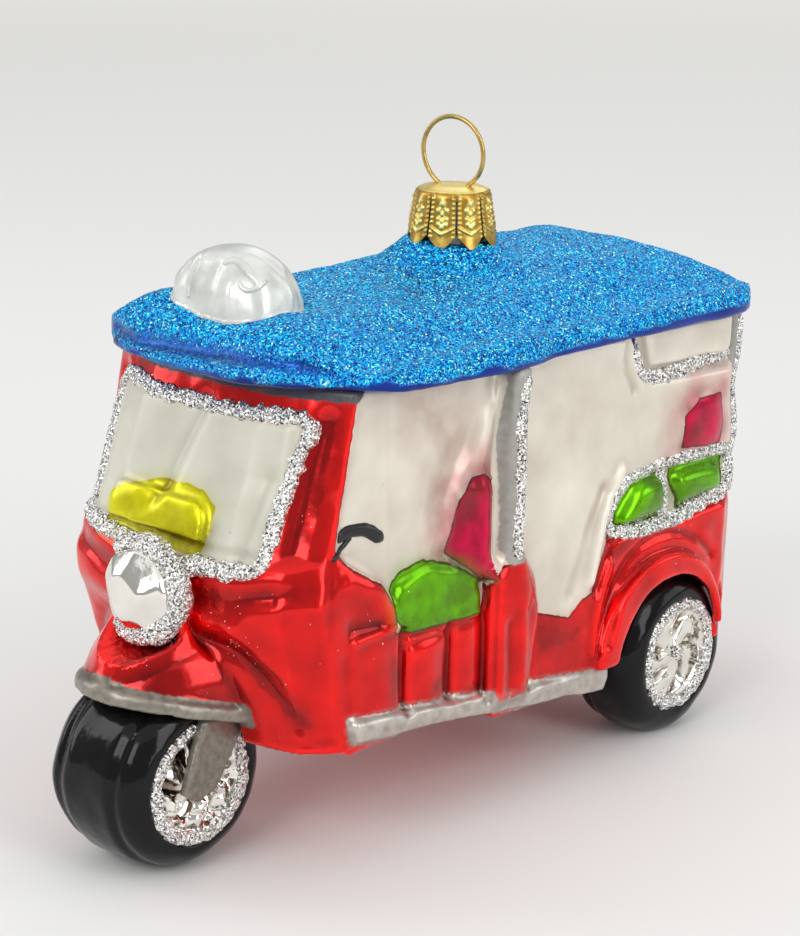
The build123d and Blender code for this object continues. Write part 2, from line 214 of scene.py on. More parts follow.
def fused(names: Sequence[str], voxel: float, soften: int) -> bpy.types.Mesh:
    """Melts copies of solids into one skin.

    Args:
        names: The solids.
        voxel: The grid's step in millimetres.
        soften: How many times the skin is relaxed.

    Returns:
        A new mesh of four-sided faces.
    """
    melt = bmesh.new()
    for name in names:
        melt.from_mesh(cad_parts[name].data)
    mesh = bpy.data.meshes.new("melt")
    melt.to_mesh(mesh)
    melt.free()
    holder = bpy.data.objects.new("melt", mesh)
    bpy.context.scene.collection.objects.link(holder)
    remesh = holder.modifiers.new("skin", "REMESH")
    remesh.mode = "VOXEL"
    remesh.voxel_size = voxel * MM
    relax = holder.modifiers.new("soften", "SMOOTH")
    relax.factor = 0.5
    relax.iterations = soften
    skin = bpy.data.meshes.new_from_object(holder.evaluated_get(bpy.context.evaluated_depsgraph_get()))
    bpy.data.objects.remove(holder)
    return skin


def melted(name: str, voxel: float, soften: int) -> tuple[np.ndarray, np.ndarray, np.ndarray]:
    """Melts one solid alone.

    Args:
        name: The solid.
        voxel: The grid's step in millimetres.
        soften: How many times the skin is relaxed.

    Returns:
        The skin's points, normals and four-sided faces.
    """
    skin = fused((name,), voxel, soften)
    found = drawn(skin), normals_of(skin), faces_of(skin)
    bpy.data.meshes.remove(skin)
    return found


def lumps(points: np.ndarray, *waves: tuple[float, float, int]) -> np.ndarray:
    """Works out a smooth seeded unevenness.

    Args:
        points: Drawn points.
        *waves: The height of the bumps, their distance in millimetres, and the seed.

    Returns:
        A height for each point, nought on the whole.
    """
    total = np.zeros(len(points))
    for height, size, seed in waves:
        table = np.random.default_rng(seed).uniform(-1, 1, (32, 32, 32))
        scaled = points / size + 100.0
        cell = np.floor(scaled).astype(int)
        part = scaled - cell
        part = part * part * (3 - 2 * part)
        wave = np.zeros(len(points))
        for corner in np.ndindex(2, 2, 2):
            index = (cell + corner) % 32
            wave += np.prod(np.where(corner, part, 1 - part), axis=1) * table[tuple(index.T)]
        total += height * wave
    return total


def line_distance(flat: np.ndarray, drawing: Outline, closed: bool = False) -> np.ndarray:
    """Distance of flat points from a drawn line.

    Args:
        flat: Flat points, one row each.
        drawing: The line's points.
        closed: Whether its end joins its start.

    Returns:
        The distance of each point.
    """
    ends = drawing[1:] + drawing[:1] if closed else drawing[1:]
    best = np.full(len(flat), np.inf)
    for start, end in zip(drawing, ends):
        a, run = np.array(start), np.subtract(end, start)
        along = np.clip((flat - a) @ run / (run @ run), 0, 1)
        best = np.minimum(best, np.hypot(*(flat - a - along[:, None] * run).T))
    return best


def outline_distance(flat: np.ndarray, outline: Outline) -> np.ndarray:
    """Signed distance of flat points from a closed outline.

    Args:
        flat: Flat points, one row each.
        outline: The outline's points.

    Returns:
        The distance of each point, less than nought inside the outline.
    """
    inside = np.zeros(len(flat), bool)
    u, v = flat.T
    for (u0, v0), (u1, v1) in zip(outline, outline[1:] + outline[:1]):
        if v0 != v1:
            inside ^= ((v0 > v) != (v1 > v)) & (u < (u1 - u0) * (v - v0) / (v1 - v0) + u0)
    return line_distance(flat, outline, True) * np.where(inside, -1, 1)


def softened(drawing: Outline, closed: bool, rounds: int) -> np.ndarray:
    """Rounds the corners of a drawn line.

    Args:
        drawing: The line's points.
        closed: Whether its end joins its start.
        rounds: How many times each corner is cut.

    Returns:
        The rounded line's points.
    """
    points = np.array(drawing, float)
    for _ in range(rounds):
        ends = np.roll(points, -1, axis=0) if closed else points[1:]
        starts = points if closed else points[:-1]
        cut = np.stack([starts * 0.75 + ends * 0.25, starts * 0.25 + ends * 0.75], 1).reshape(-1, 2)
        points = cut if closed else np.concatenate([points[:1], cut, points[-1:]])
    return points


def resampled(points: np.ndarray, step: float, closed: bool) -> np.ndarray:
    """Sets points a step apart along a line.

    Args:
        points: The line's points.
        step: The distance between the new points, about.
        closed: Whether its end joins its start.

    Returns:
        The new points; a closed line's last point isn't its first again.
    """
    whole = np.concatenate([points, points[:1]]) if closed else points
    along = np.concatenate([[0], np.cumsum(np.hypot(*np.diff(whole, axis=0).T))])
    count = max(4, int(along[-1] / step))
    marks = np.linspace(0, along[-1], count + 1)[: count + (not closed)]
    return np.stack([np.interp(marks, along, whole[:, k]) for k in (0, 1)], 1)


def eased(points: np.ndarray) -> np.ndarray:
    """Draws the two front corners of the cabin and the roof inwards, which rounds them.

    Args:
        points: Drawn points.

    Returns:
        The points in their new places.
    """
    across = np.clip((np.abs(points[:, 0]) - 10) / 9, 0, 1.2)
    shift = 1.3 * across * ramp(-21 - points[:, 1], 8) * ramp(points[:, 2] - 37, 5)
    return points + np.stack([-np.sign(points[:, 0]) * 0.6 * shift, 0.9 * shift, 0 * shift], 1)


def waved(points: np.ndarray) -> np.ndarray:
    """Draws the rear corners in where the glass has sunk between its mouldings.

    Args:
        points: Drawn points.

    Returns:
        The points in their new places.
    """
    moved = points.copy()
    corner = ramp(points[:, 1] - 46, 8) * ramp(np.abs(points[:, 0]) - 10, 8)
    moved[:, 1] -= (1.25 * bell(points[:, 2] - 50.5, 3.6) + 0.9 * bell(points[:, 2] - 40.2, 1.8)) * corner
    return moved


def turned_grid(rows: int, turns: int) -> Faces:
    """Faces of a grid of rows that each close on themselves."""
    corners = [(r * turns + t, r * turns + (t + 1) % turns) for r in range(rows - 1) for t in range(turns)]
    return [[a, b, b + turns, a + turns] for a, b in corners]


def tube(rows: int, turns: int) -> Faces:
    """Faces of such a grid with a flat cap at either end."""
    last = (rows - 1) * turns
    return [*turned_grid(rows, turns), list(range(turns))[::-1], list(range(last, last + turns))]


class View(Enum):
    """The side of the ornament on which an outline or a fold is drawn."""

    SIDE = (1, 2, 1)
    FRONT = (0, 2, -1)
    REAR = (0, 2, 1)
    TOP = (0, 1, 1)

    @property
    def axis(self) -> int:
        """Returns the axis that the side looks along."""
        return 3 - self.value[0] - self.value[1]

    def flat(self, points: np.ndarray) -> np.ndarray:
        """Returns the two drawn coordinates of each point."""
        return points[:, self.value[:2]]

    def facing(self, normals: np.ndarray) -> np.ndarray:
        """Returns how far each point faces this side, from 0 to 1."""
        toward = np.abs(normals[:, 0]) if self is View.SIDE else normals[:, self.axis] * self.value[2]
        return ramp(toward - 0.3, 0.4)

    def cast(self, tree: BVHTree, flat: np.ndarray, sign: int) -> tuple[np.ndarray, np.ndarray]:
        """Drops drawn points onto the glass.

        Args:
            tree: The glass.
            flat: The drawn points.
            sign: 1, or for the right side -1.

        Returns:
            The points on the glass and its normals there.
        """
        outward = np.zeros(3)
        outward[self.axis] = sign * self.value[2]
        starts = np.tile(outward * FAR, (len(flat), 1))
        starts[:, self.value[:2]] = flat
        found, last = [], None
        for start in starts.tolist():
            hit = tree.ray_cast(start, (-outward).tolist())
            if hit[0] is None:
                hit = tree.find_nearest(last or start)
            last = hit[0]
            found.append((*hit[0], *hit[1]))
        rows = np.array(found)
        return rows[:, :3], rows[:, 3:]


SIDE, FRONT, REAR, TOP = View


@dataclass(frozen=True)
class Fold:
    """A rounded ridge, or with a height below nought a groove, along a drawn line.

    Attributes:
        view: The side on which the line is drawn.
        width: Its half width in millimetres.
        height: How far it stands out.
        drawing: The line's points.
    """

    view: View
    width: float
    height: float
    drawing: Outline

    def rise(self, points: np.ndarray, normals: np.ndarray) -> np.ndarray:
        """Returns how far the fold lifts each point."""
        away = line_distance(self.view.flat(points), softened(self.drawing, False, 1))
        return self.height * bell(away, self.width) * self.view.facing(normals)


def folds(view: View, *rows: tuple[float, ...], mirrored: bool = False) -> tuple[Fold, ...]:
    """Makes folds from rows of a width, a height and a line's numbers.

    Args:
        view: The side on which they are drawn.
        *rows: The rows.
        mirrored: Whether each has its mirror image across the middle as well.

    Returns:
        The folds.
    """
    made = []
    for width, height, *numbers in rows:
        made.append(Fold(view, width, height, line(*numbers)))
        if mirrored:
            made.append(Fold(view, width, height, tuple((-u, v) for u, v in line(*numbers))))
    return tuple(made)


def folded(points: np.ndarray, normals: np.ndarray, made: Iterable[Fold]) -> np.ndarray:
    """Returns how far all of the folds together lift each point."""
    return sum(fold.rise(points, normals) for fold in made)


# ---------------------------------------------------------------- shaders


def operator(operation: str, reflected: bool = False) -> Callable[["Wire", Value], "Wire"]:
    """Makes the method behind one of Wire's operators.

    Args:
        operation: The Math node's operation.
        reflected: Whether the value stands after the other number, as in 1 - mask.

    Returns:
        The method.
    """

    def method(self: "Wire", other: Value) -> "Wire":
        """Adds the Math node and returns its result."""
        return self.kit.math(operation, *((other, self) if reflected else (self, other)))

    return method


class Wire:
    """A shader value that adds Math nodes when it is used in an expression."""

    def __init__(self, kit: "Kit", socket: bpy.types.NodeSocket) -> None:
        """Keeps the value's kit and socket."""
        self.kit = kit
        self.socket = socket

    __add__, __radd__ = operator("ADD"), operator("ADD", True)
    __sub__, __rsub__ = operator("SUBTRACT"), operator("SUBTRACT", True)
    __mul__, __rmul__ = operator("MULTIPLY"), operator("MULTIPLY", True)
    __truediv__, __rtruediv__ = operator("DIVIDE"), operator("DIVIDE", True)
    __pow__, __rpow__ = operator("POWER"), operator("POWER", True)

    def clamped(self) -> "Wire":
        """Returns the value held between 0 and 1."""
        return self.kit.math("MINIMUM", self.kit.math("MAXIMUM", self, 0.0), 1.0)


class Kit:
    """The node tree of one finish, or of the room, with its surface shader."""

    def __init__(self, name: str, room: bool = False) -> None:
        """Starts an empty finish.

        Args:
            name: The finish's name.
            room: Whether it is the room's light and not a finish.
        """
        self.material = (bpy.data.worlds if room else bpy.data.materials).new(name)
        self.material.use_nodes = True
        self.tree = self.material.node_tree
        self.tree.nodes.clear()
        self.surface = self.node("ShaderNodeBackground" if room else "ShaderNodeBsdfPrincipled")
        kind = "ShaderNodeOutputWorld" if room else "ShaderNodeOutputMaterial"
        self.output = self.node(kind, inputs={"Surface": self.surface.outputs[0]})

    def node(self, kind: str, settings: dict | None = None, inputs: dict | None = None) -> bpy.types.Node:
        """Adds a node.

        Args:
            kind: The node's type.
            settings: Its settings, set first; "stops" are a ramp's places and colours.
            inputs: Values or links of its sockets, by name or number.

        Returns:
            The node.
        """
        made = self.tree.nodes.new(kind)
        for key, value in (settings or {}).items():
            if key == "stops":
                self.set_stops(made.color_ramp, value)
            else:
                setattr(made, key, value)
        for key, value in (inputs or {}).items():
            self.feed(made.inputs[key], value)
        return made

    def set_stops(self, scale: bpy.types.ColorRamp, stops: Sequence[tuple[float, Colour]]) -> None:
        """Gives a ramp its places and colours, as flat steps.

        Args:
            scale: The ramp.
            stops: The places and colours.
        """
        scale.interpolation = "CONSTANT"
        while len(scale.elements) < len(stops):
            scale.elements.new(1.0)
        for element, (place, colour) in zip(scale.elements, stops):
            element.position = place
            element.color = (*colour, 1.0)

    def feed(self, socket: bpy.types.NodeSocket, value: object) -> None:
        """Sets a socket to a number or colour, or links it to another socket.

        Args:
            socket: The socket.
            value: What it gets.
        """
        if isinstance(value, (Wire, bpy.types.NodeSocket)):
            self.tree.links.new(getattr(value, "socket", value), socket)
        elif isinstance(value, tuple) and socket.type == "RGBA":
            socket.default_value = (*value, 1.0)
        else:
            socket.default_value = value

    def dress(self, **inputs: object) -> bpy.types.Material:
        """Feeds the surface shader's sockets, by name with underscores for spaces.

        Args:
            **inputs: The values or links.

        Returns:
            The finished material.
        """
        for key, value in inputs.items():
            self.feed(self.surface.inputs[key.replace("_", " ")], value)
        return self.material

    def math(self, operation: str, first: Value, second: Value) -> Wire:
        """Adds a Math node and returns its result."""
        return Wire(self, self.node("ShaderNodeMath", {"operation": operation}, {0: first, 1: second}).outputs[0])

    def mix(self, factor: Value, first: "Colour | Wire", second: "Colour | Wire") -> Wire:
        """Adds a colour Mix node and returns its result."""
        made = self.node("ShaderNodeMix", {"data_type": "RGBA"}, {0: factor, 6: first, 7: second})
        return Wire(self, made.outputs[2])

    def blend(self, factor: Wire, first: Value, second: Value) -> Wire:
        """Returns a number between two others."""
        return first * (1 - factor) + second * factor

    def vector(self, operation: str, *values: object) -> Wire:
        """Adds a Vector Math node and returns its result."""
        made = self.node("ShaderNodeVectorMath", {"operation": operation}, dict(enumerate(values)))
        return Wire(self, made.outputs[0])

    def value(self, name: str) -> Wire:
        """Returns a number stored on the mesh under a name."""
        return Wire(self, self.node("ShaderNodeAttribute", {"attribute_name": name}).outputs["Fac"])

    def place(self) -> Wire:
        """Returns the place on the piece, in metres."""
        return Wire(self, self.node("ShaderNodeTexCoord").outputs["Object"])

    def noise(self, size: float, detail: float = 2.0) -> Wire:
        """Returns cloudy noise from 0 to 1.

        Args:
            size: How far apart its clouds lie, in millimetres.
            detail: How many finer layers it has.

        Returns:
            The noise.
        """
        inputs = {"Vector": self.place(), "Scale": 1 / (size * MM), "Detail": detail}
        return Wire(self, self.node("ShaderNodeTexNoise", inputs=inputs).outputs["Fac"])

    def tilted(self, cells: bpy.types.Node, amount: Value) -> Wire:
        """Returns the surface's normal, tipped another way in each cell.

        Args:
            cells: The cell pattern.
            amount: How far the cells tip.

        Returns:
            The normal.
        """
        normal = self.node("ShaderNodeNewGeometry").outputs["Normal"]
        swing = self.vector("SUBTRACT", cells.outputs["Color"], (0.5, 0.5, 0.5))
        scaled = self.node("ShaderNodeVectorMath", {"operation": "SCALE"}, {0: swing, "Scale": amount})
        return self.vector("NORMALIZE", self.vector("ADD", normal, scaled.outputs[0]))

    def bump(self, size: float, depth: float) -> Wire:
        """Returns a normal that follows faint bumps, a size apart and a depth high, in millimetres."""
        inputs = {"Height": self.noise(size), "Distance": depth * MM}
        return Wire(self, self.node("ShaderNodeBump", inputs=inputs).outputs[0])


@dataclass(frozen=True)
class Lacquer:
    """A lacquer over silvered glass.

    Attributes:
        name: The finish's name.
        thin: Its colour where it runs thin over a ridge; on ridges it also stands for painted light.
        deep: Its colour where it pools in a hollow; in hollows it also stands for painted shade.
        metallic: How much silver shows through.
        roughness: How much it blurs what it mirrors.
        coat: How much clear gloss lies on it.
        cloud: How far apart its clouds lie, in millimetres.
        gloss: How strongly its own surface mirrors.
    """

    name: str
    thin: Colour
    deep: Colour
    metallic: float
    roughness: float
    coat: float
    cloud: float = 5.0
    gloss: float = 0.3

    def colour(self, kit: Kit, hollow: Value = 0.0) -> Wire:
        """Returns the lacquer's colour, deeper in clouds and hollows; deeper in hollows and paler on ridges is also
        painted shade and painted light.

        Args:
            kit: The finish it is laid in.
            hollow: How hollow the surface is, from -1 on a ridge to 1.

        Returns:
            The colour.
        """
        depth = ((kit.noise(self.cloud, 3.0) - 0.5) * 1.1 + hollow * 0.6 + 0.35).clamped()
        return kit.mix(depth, self.thin, self.deep)

    def alone(self, hollow: str = "") -> bpy.types.Material:
        """Makes the lacquer as a finish of its own, with the faint waves of blown glass.

        Args:
            hollow: The name of the mesh value that tells how hollow the surface is, and so where the lacquer gets
                painted shade and painted light, if it has one.

        Returns:
            The finish.
        """
        kit = Kit(self.name)
        return kit.dress(
            Specular_IOR_Level=self.gloss,
            Base_Color=self.colour(kit, kit.value(hollow) if hollow else 0.0),
            Metallic=self.metallic,
            Roughness=self.roughness + (kit.noise(2.5) - 0.5) * 0.12,
            Coat_Weight=self.coat,
            Coat_Roughness=0.04,
            Normal=kit.bump(1.6, 0.05),
        )


@dataclass(frozen=True)
class Glitter:
    """Fine flakes set in a lacquer.

    Attributes:
        name: The finish's name.
        under: The lacquer between the flakes.
        tip: How far flakes tip from the surface.
        stops: A ramp of the flakes' colours, from the commonest.
        flake: The flakes' size in millimetres.
    """

    name: str
    under: Lacquer
    tip: float
    stops: tuple[tuple[float, Colour], ...]
    flake: float = 0.19

    def alone(self) -> bpy.types.Material:
        """Makes the finish; it reads each mesh's own "grit", 1 where flakes lie and 0 where none do.

        Returns:
            The finish.
        """
        kit = Kit(self.name)
        grit = kit.value("grit").clamped()
        cells = kit.node("ShaderNodeTexVoronoi", inputs={"Vector": kit.place(), "Scale": 1 / (self.flake * MM)})
        pick = kit.node("ShaderNodeSeparateColor", inputs={0: cells.outputs["Color"]}).outputs[0]
        flakes = Wire(kit, kit.node("ShaderNodeValToRGB", {"stops": self.stops}, {0: pick}).outputs[0])
        return kit.dress(
            Base_Color=kit.mix(grit, self.under.colour(kit), flakes),
            Metallic=kit.blend(grit, self.under.metallic, 0.9),
            Roughness=kit.blend(grit, self.under.roughness, 0.34),
            Coat_Weight=(1 - grit) * self.under.coat,
            Coat_Roughness=0.05,
            Normal=kit.tilted(cells, grit * self.tip),
        )


RED = Lacquer("red_lacquer", (0.96, 0.012, 0.010), (0.15, 0.0, 0.002), 0.72, 0.2, 0.25, 6.0)
PEARL = Lacquer("white_pearl", (0.83, 0.78, 0.675), (0.46, 0.385, 0.31), 0.25, 0.34, 0.15, 9.0)
# The windscreen's frosted pearl, darkened further as painted shade and painted reflection.
SHADED_SCREEN = Lacquer("shaded_screen_pearl", (0.66, 0.65, 0.55), (0.44, 0.43, 0.345), 0.12, 0.42, 0.08, 8.0)
SIGN = Lacquer("sign_pearl", (0.82, 0.83, 0.78), (0.38, 0.40, 0.37), 0.3, 0.3, 0.25, 3.2)
YELLOW = Lacquer("yellow_lacquer", (0.78, 0.74, 0.0), (0.28, 0.23, 0.0), 0.45, 0.3, 0.12, 3.0)
GREEN = Lacquer("green_lacquer", (0.17, 0.60, 0.0), (0.055, 0.085, 0.0), 0.75, 0.24, 0.06, 2.8)
MAGENTA = Lacquer("magenta_lacquer", (0.76, 0.0, 0.066), (0.05, 0.0, 0.008), 0.68, 0.24, 0.2, 2.4)
SILVER = Lacquer("silver_paint", (0.31, 0.285, 0.24), (0.085, 0.068, 0.055), 0.75, 0.4, 0.1, 0.9)
SILL = Lacquer("sill_silver", (0.60, 0.56, 0.51), (0.22, 0.175, 0.15), 0.8, 0.34, 0.1, 1.3)
# Painted shade: the warm darkening of the front doorway.
DOORWAY_SHADE = Lacquer("warm_shade", (0.56, 0.43, 0.36), (0.42, 0.31, 0.26), 0.25, 0.34, 0.15, 9.0)
# Painted shade and dark reflections in the red lacquer.
RED_SHADE = Lacquer("red_shade", (0.48, 0.006, 0.005), (0.08, 0.0, 0.002), 0.72, 0.18, 0.3, 3.0)
GREY = Lacquer("grey_paint", (0.40, 0.39, 0.36), (0.22, 0.21, 0.19), 0.3, 0.5, 0.0, 1.3)
# Painted shade and dark reflections where parts meet, in the panes and along the windscreen's foot.
PAINTED_SHADE = Lacquer("painted_shade", (0.060, 0.045, 0.010), (0.020, 0.010, 0.004), 0.6, 0.24, 0.2, 1.5)
SMEAR = Lacquer("dark_smear", (0.10, 0.10, 0.11), (0.02, 0.02, 0.03), 0.3, 0.4, 0.2, 1.4)
MIRROR = Lacquer("mirror_silver", (0.93, 0.91, 0.86), (0.72, 0.68, 0.60), 1.0, 0.12, 0.0, 3.0)
BLACK = Lacquer("black_paint", (0.010, 0.010, 0.012), (0.003, 0.003, 0.004), 0.0, 0.34, 0.3, 1.5)
TYRE = Lacquer("tyre_black", (0.005, 0.005, 0.006), (0.002, 0.002, 0.002), 0.0, 0.13, 0.16, 5.0, 0.16)
COBALT = Lacquer("cobalt_lacquer", (0.003, 0.040, 0.36), (0.001, 0.008, 0.13), 0.7, 0.25, 0.1)
GOLD = Lacquer("gold_cap", (1.0, 0.80, 0.27), (0.42, 0.25, 0.04), 0.9, 0.32, 0.0, 1.0)
WIRE_GOLD = Lacquer("gold_wire", (0.62, 0.44, 0.14), (0.34, 0.23, 0.06), 1.0, 0.28, 0.0, 2.0)
NECK = Lacquer("silvered_neck", (0.24, 0.23, 0.20), (0.08, 0.08, 0.08), 0.8, 0.3, 0.2, 2.0)

BLUE_GLITTER = Glitter(
    "blue_glitter",
    COBALT,
    1.5,
    (
        (0.0, (0.004, 0.06, 0.38)),
        (0.24, (0.008, 0.24, 0.74)),
        (0.55, (0.014, 0.46, 0.92)),
        (0.80, (0.03, 0.74, 1.0)),
        (0.93, (0.42, 0.96, 1.0)),
    ),
)
SILVER_GLITTER = Glitter(
    "silver_glitter",
    SILVER,
    1.3,
    (
        (0.0, (0.12, 0.115, 0.11)),
        (0.13, (0.46, 0.455, 0.44)),
        (0.38, (0.74, 0.74, 0.72)),
        (0.66, (1.0, 1.0, 0.98)),
        (0.95, (0.95, 0.80, 0.70)),
    ),
)


@dataclass(frozen=True)
class Bead:
    """A raised line of glitter or paint that lies on the glass.

    Attributes:
        name: The piece's name, without its side.
        view: The side on which it is drawn.
        half_width: Half its width, in millimetres.
        height: How far it stands out.
        drawing: Its middle line.
        closed: Whether its end joins its start.
        grain: How far its facets stand up; 0 makes it smooth.
        ragged: How far its edges wander, as a share of its half width.
        step: The size of a facet.
        lanes: How many rows of points it has from edge to edge.
        sink: How far its back lies in the glass.
    """

    name: str
    view: View
    half_width: float
    height: float
    drawing: Outline
    closed: bool = False
    grain: float = 0.085
    ragged: float = 0.3
    step: float = 0.2
    lanes: int = 9
    sink: float = 0.4

    def form(self, tree: BVHTree, sign: int, seed: int) -> Form:
        """Works out the line's solid form.

        Args:
            tree: The glass it lies on.
            sign: The side it is drawn from, as in View.cast.
            seed: Which grain and edges it has.

        Returns:
            Its points and faces.
        """
        middle = resampled(softened(self.drawing, self.closed, 2), self.step, self.closed)
        count = len(middle)
        ahead = np.roll(middle, -1, axis=0) - np.roll(middle, 1, axis=0)
        taper = np.ones(count)
        if not self.closed:
            ahead[0], ahead[-1] = middle[1] - middle[0], middle[-1] - middle[-2]
            ends = np.minimum(np.arange(count), np.arange(count)[::-1]) * self.step
            taper = np.sqrt(ramp(ends + 0.05, self.half_width))
        across = np.stack([-ahead[:, 1], ahead[:, 0]], 1) / np.hypot(*ahead.T)[:, None]
        places = np.column_stack([middle, np.zeros(count)])
        spread = np.linspace(-1, 1, self.lanes)
        hits, ups = [], []
        for share in spread:
            edge = 1 + lumps(places, (self.ragged, 0.8, seed + (share > 0)))
            flat = middle + across * (share * self.half_width * edge * taper)[:, None]
            hit, up = self.view.cast(tree, flat, sign)
            hits.append(hit)
            ups.append(up)
        up = np.mean(ups, axis=0)
        up = sum(np.roll(up, k, axis=0) for k in range(-3, 4)) if self.closed else up
        up /= np.linalg.norm(up, axis=1)[:, None]
        rng = np.random.default_rng(seed)
        rows = []
        for share, hit in zip(spread, hits):
            lift = self.height * taper * math.sqrt(1 - share * share) - 0.15 * abs(share) ** 4
            lift = lift + rng.uniform(-1, 1, count) * self.grain * (1 - 0.6 * share**4)
            rows.append(hit + up * lift[:, None] + rng.uniform(-1, 1, (count, 3)) * self.grain * 0.5)
        rows += [hits[-3] - up * self.sink, hits[2] - up * self.sink]
        around = len(rows)
        faces = turned_grid(count, around) if self.closed else tube(count, around)
        if self.closed:
            last = (count - 1) * around
            faces += [[last + t, last + (t + 1) % around, (t + 1) % around, t] for t in range(around)]
        return np.stack(rows, 1).reshape(-1, 3), faces

    def lay(self, trees: Sequence[BVHTree], finish: bpy.types.Material, slot: str, seed: int, *nodes: str) -> None:
        """Lays the line on the glass: once, or on the left and the right.

        Args:
            trees: The glass for each side.
            finish: What it is made of.
            slot: Its material slot.
            seed: Which grain and edges it has.
            *nodes: The solids it stands for, one a side.
        """
        names = (self.name,) if len(trees) == 1 else both(self.name)
        for index, (name, tree) in enumerate(zip(names, trees)):
            points, faces = self.form(tree, 1 - 2 * index, seed + 10 * index)
            grit = np.full(len(points), float(self.grain > 0))
            piece = make_object(name, points, faces, finish, smooth=self.grain == 0, grit=grit)
            set_piece(piece, "ornament", slot, *nodes[index : index + 1])


# ---------------------------------------------------------------- the glass body


@dataclass(frozen=True)
class Paint:
    """One painted area of the body.

    Attributes:
        lacquer: What it is painted with.
        ragged: How far its edge wanders, in millimetres.
        halo: How far its overspray reaches, in millimetres.
        haze: How strong the overspray is.
        pooling_and_shade: How much deeper its colour is along the edge, as pooled lacquer and painted shade.
        core: How strong it is inside the area.
    """

    lacquer: Lacquer
    ragged: float
    halo: float
    haze: float
    pooling_and_shade: float = 0.0
    core: float = 1.0

    def layers(self, kit: Kit) -> tuple[Wire, Wire]:
        """Lays the area in a finish.

        Args:
            kit: The finish.

        Returns:
            How strongly it covers, 1 inside and less in its overspray, and how far it is deepened along the edge, as
            pooled lacquer and painted shade.
        """
        away = kit.value("edge_" + self.lacquer.name) + (kit.noise(1.0, 3.0) - 0.5) * 2 * self.ragged
        # Deeper colour along the edge: pooled lacquer and painted shade.
        pool = (1 - kit.math("ABSOLUTE", away + 0.12, 0.0) / 0.3).clamped() * self.pooling_and_shade
        solid = (0.5 - away / 0.14).clamped() * self.core
        spray = (1 - away / self.halo).clamped() ** 1.5 * self.haze * (kit.noise(3.6) * 1.7 - 0.15).clamped()
        return kit.math("MAXIMUM", solid, spray), pool


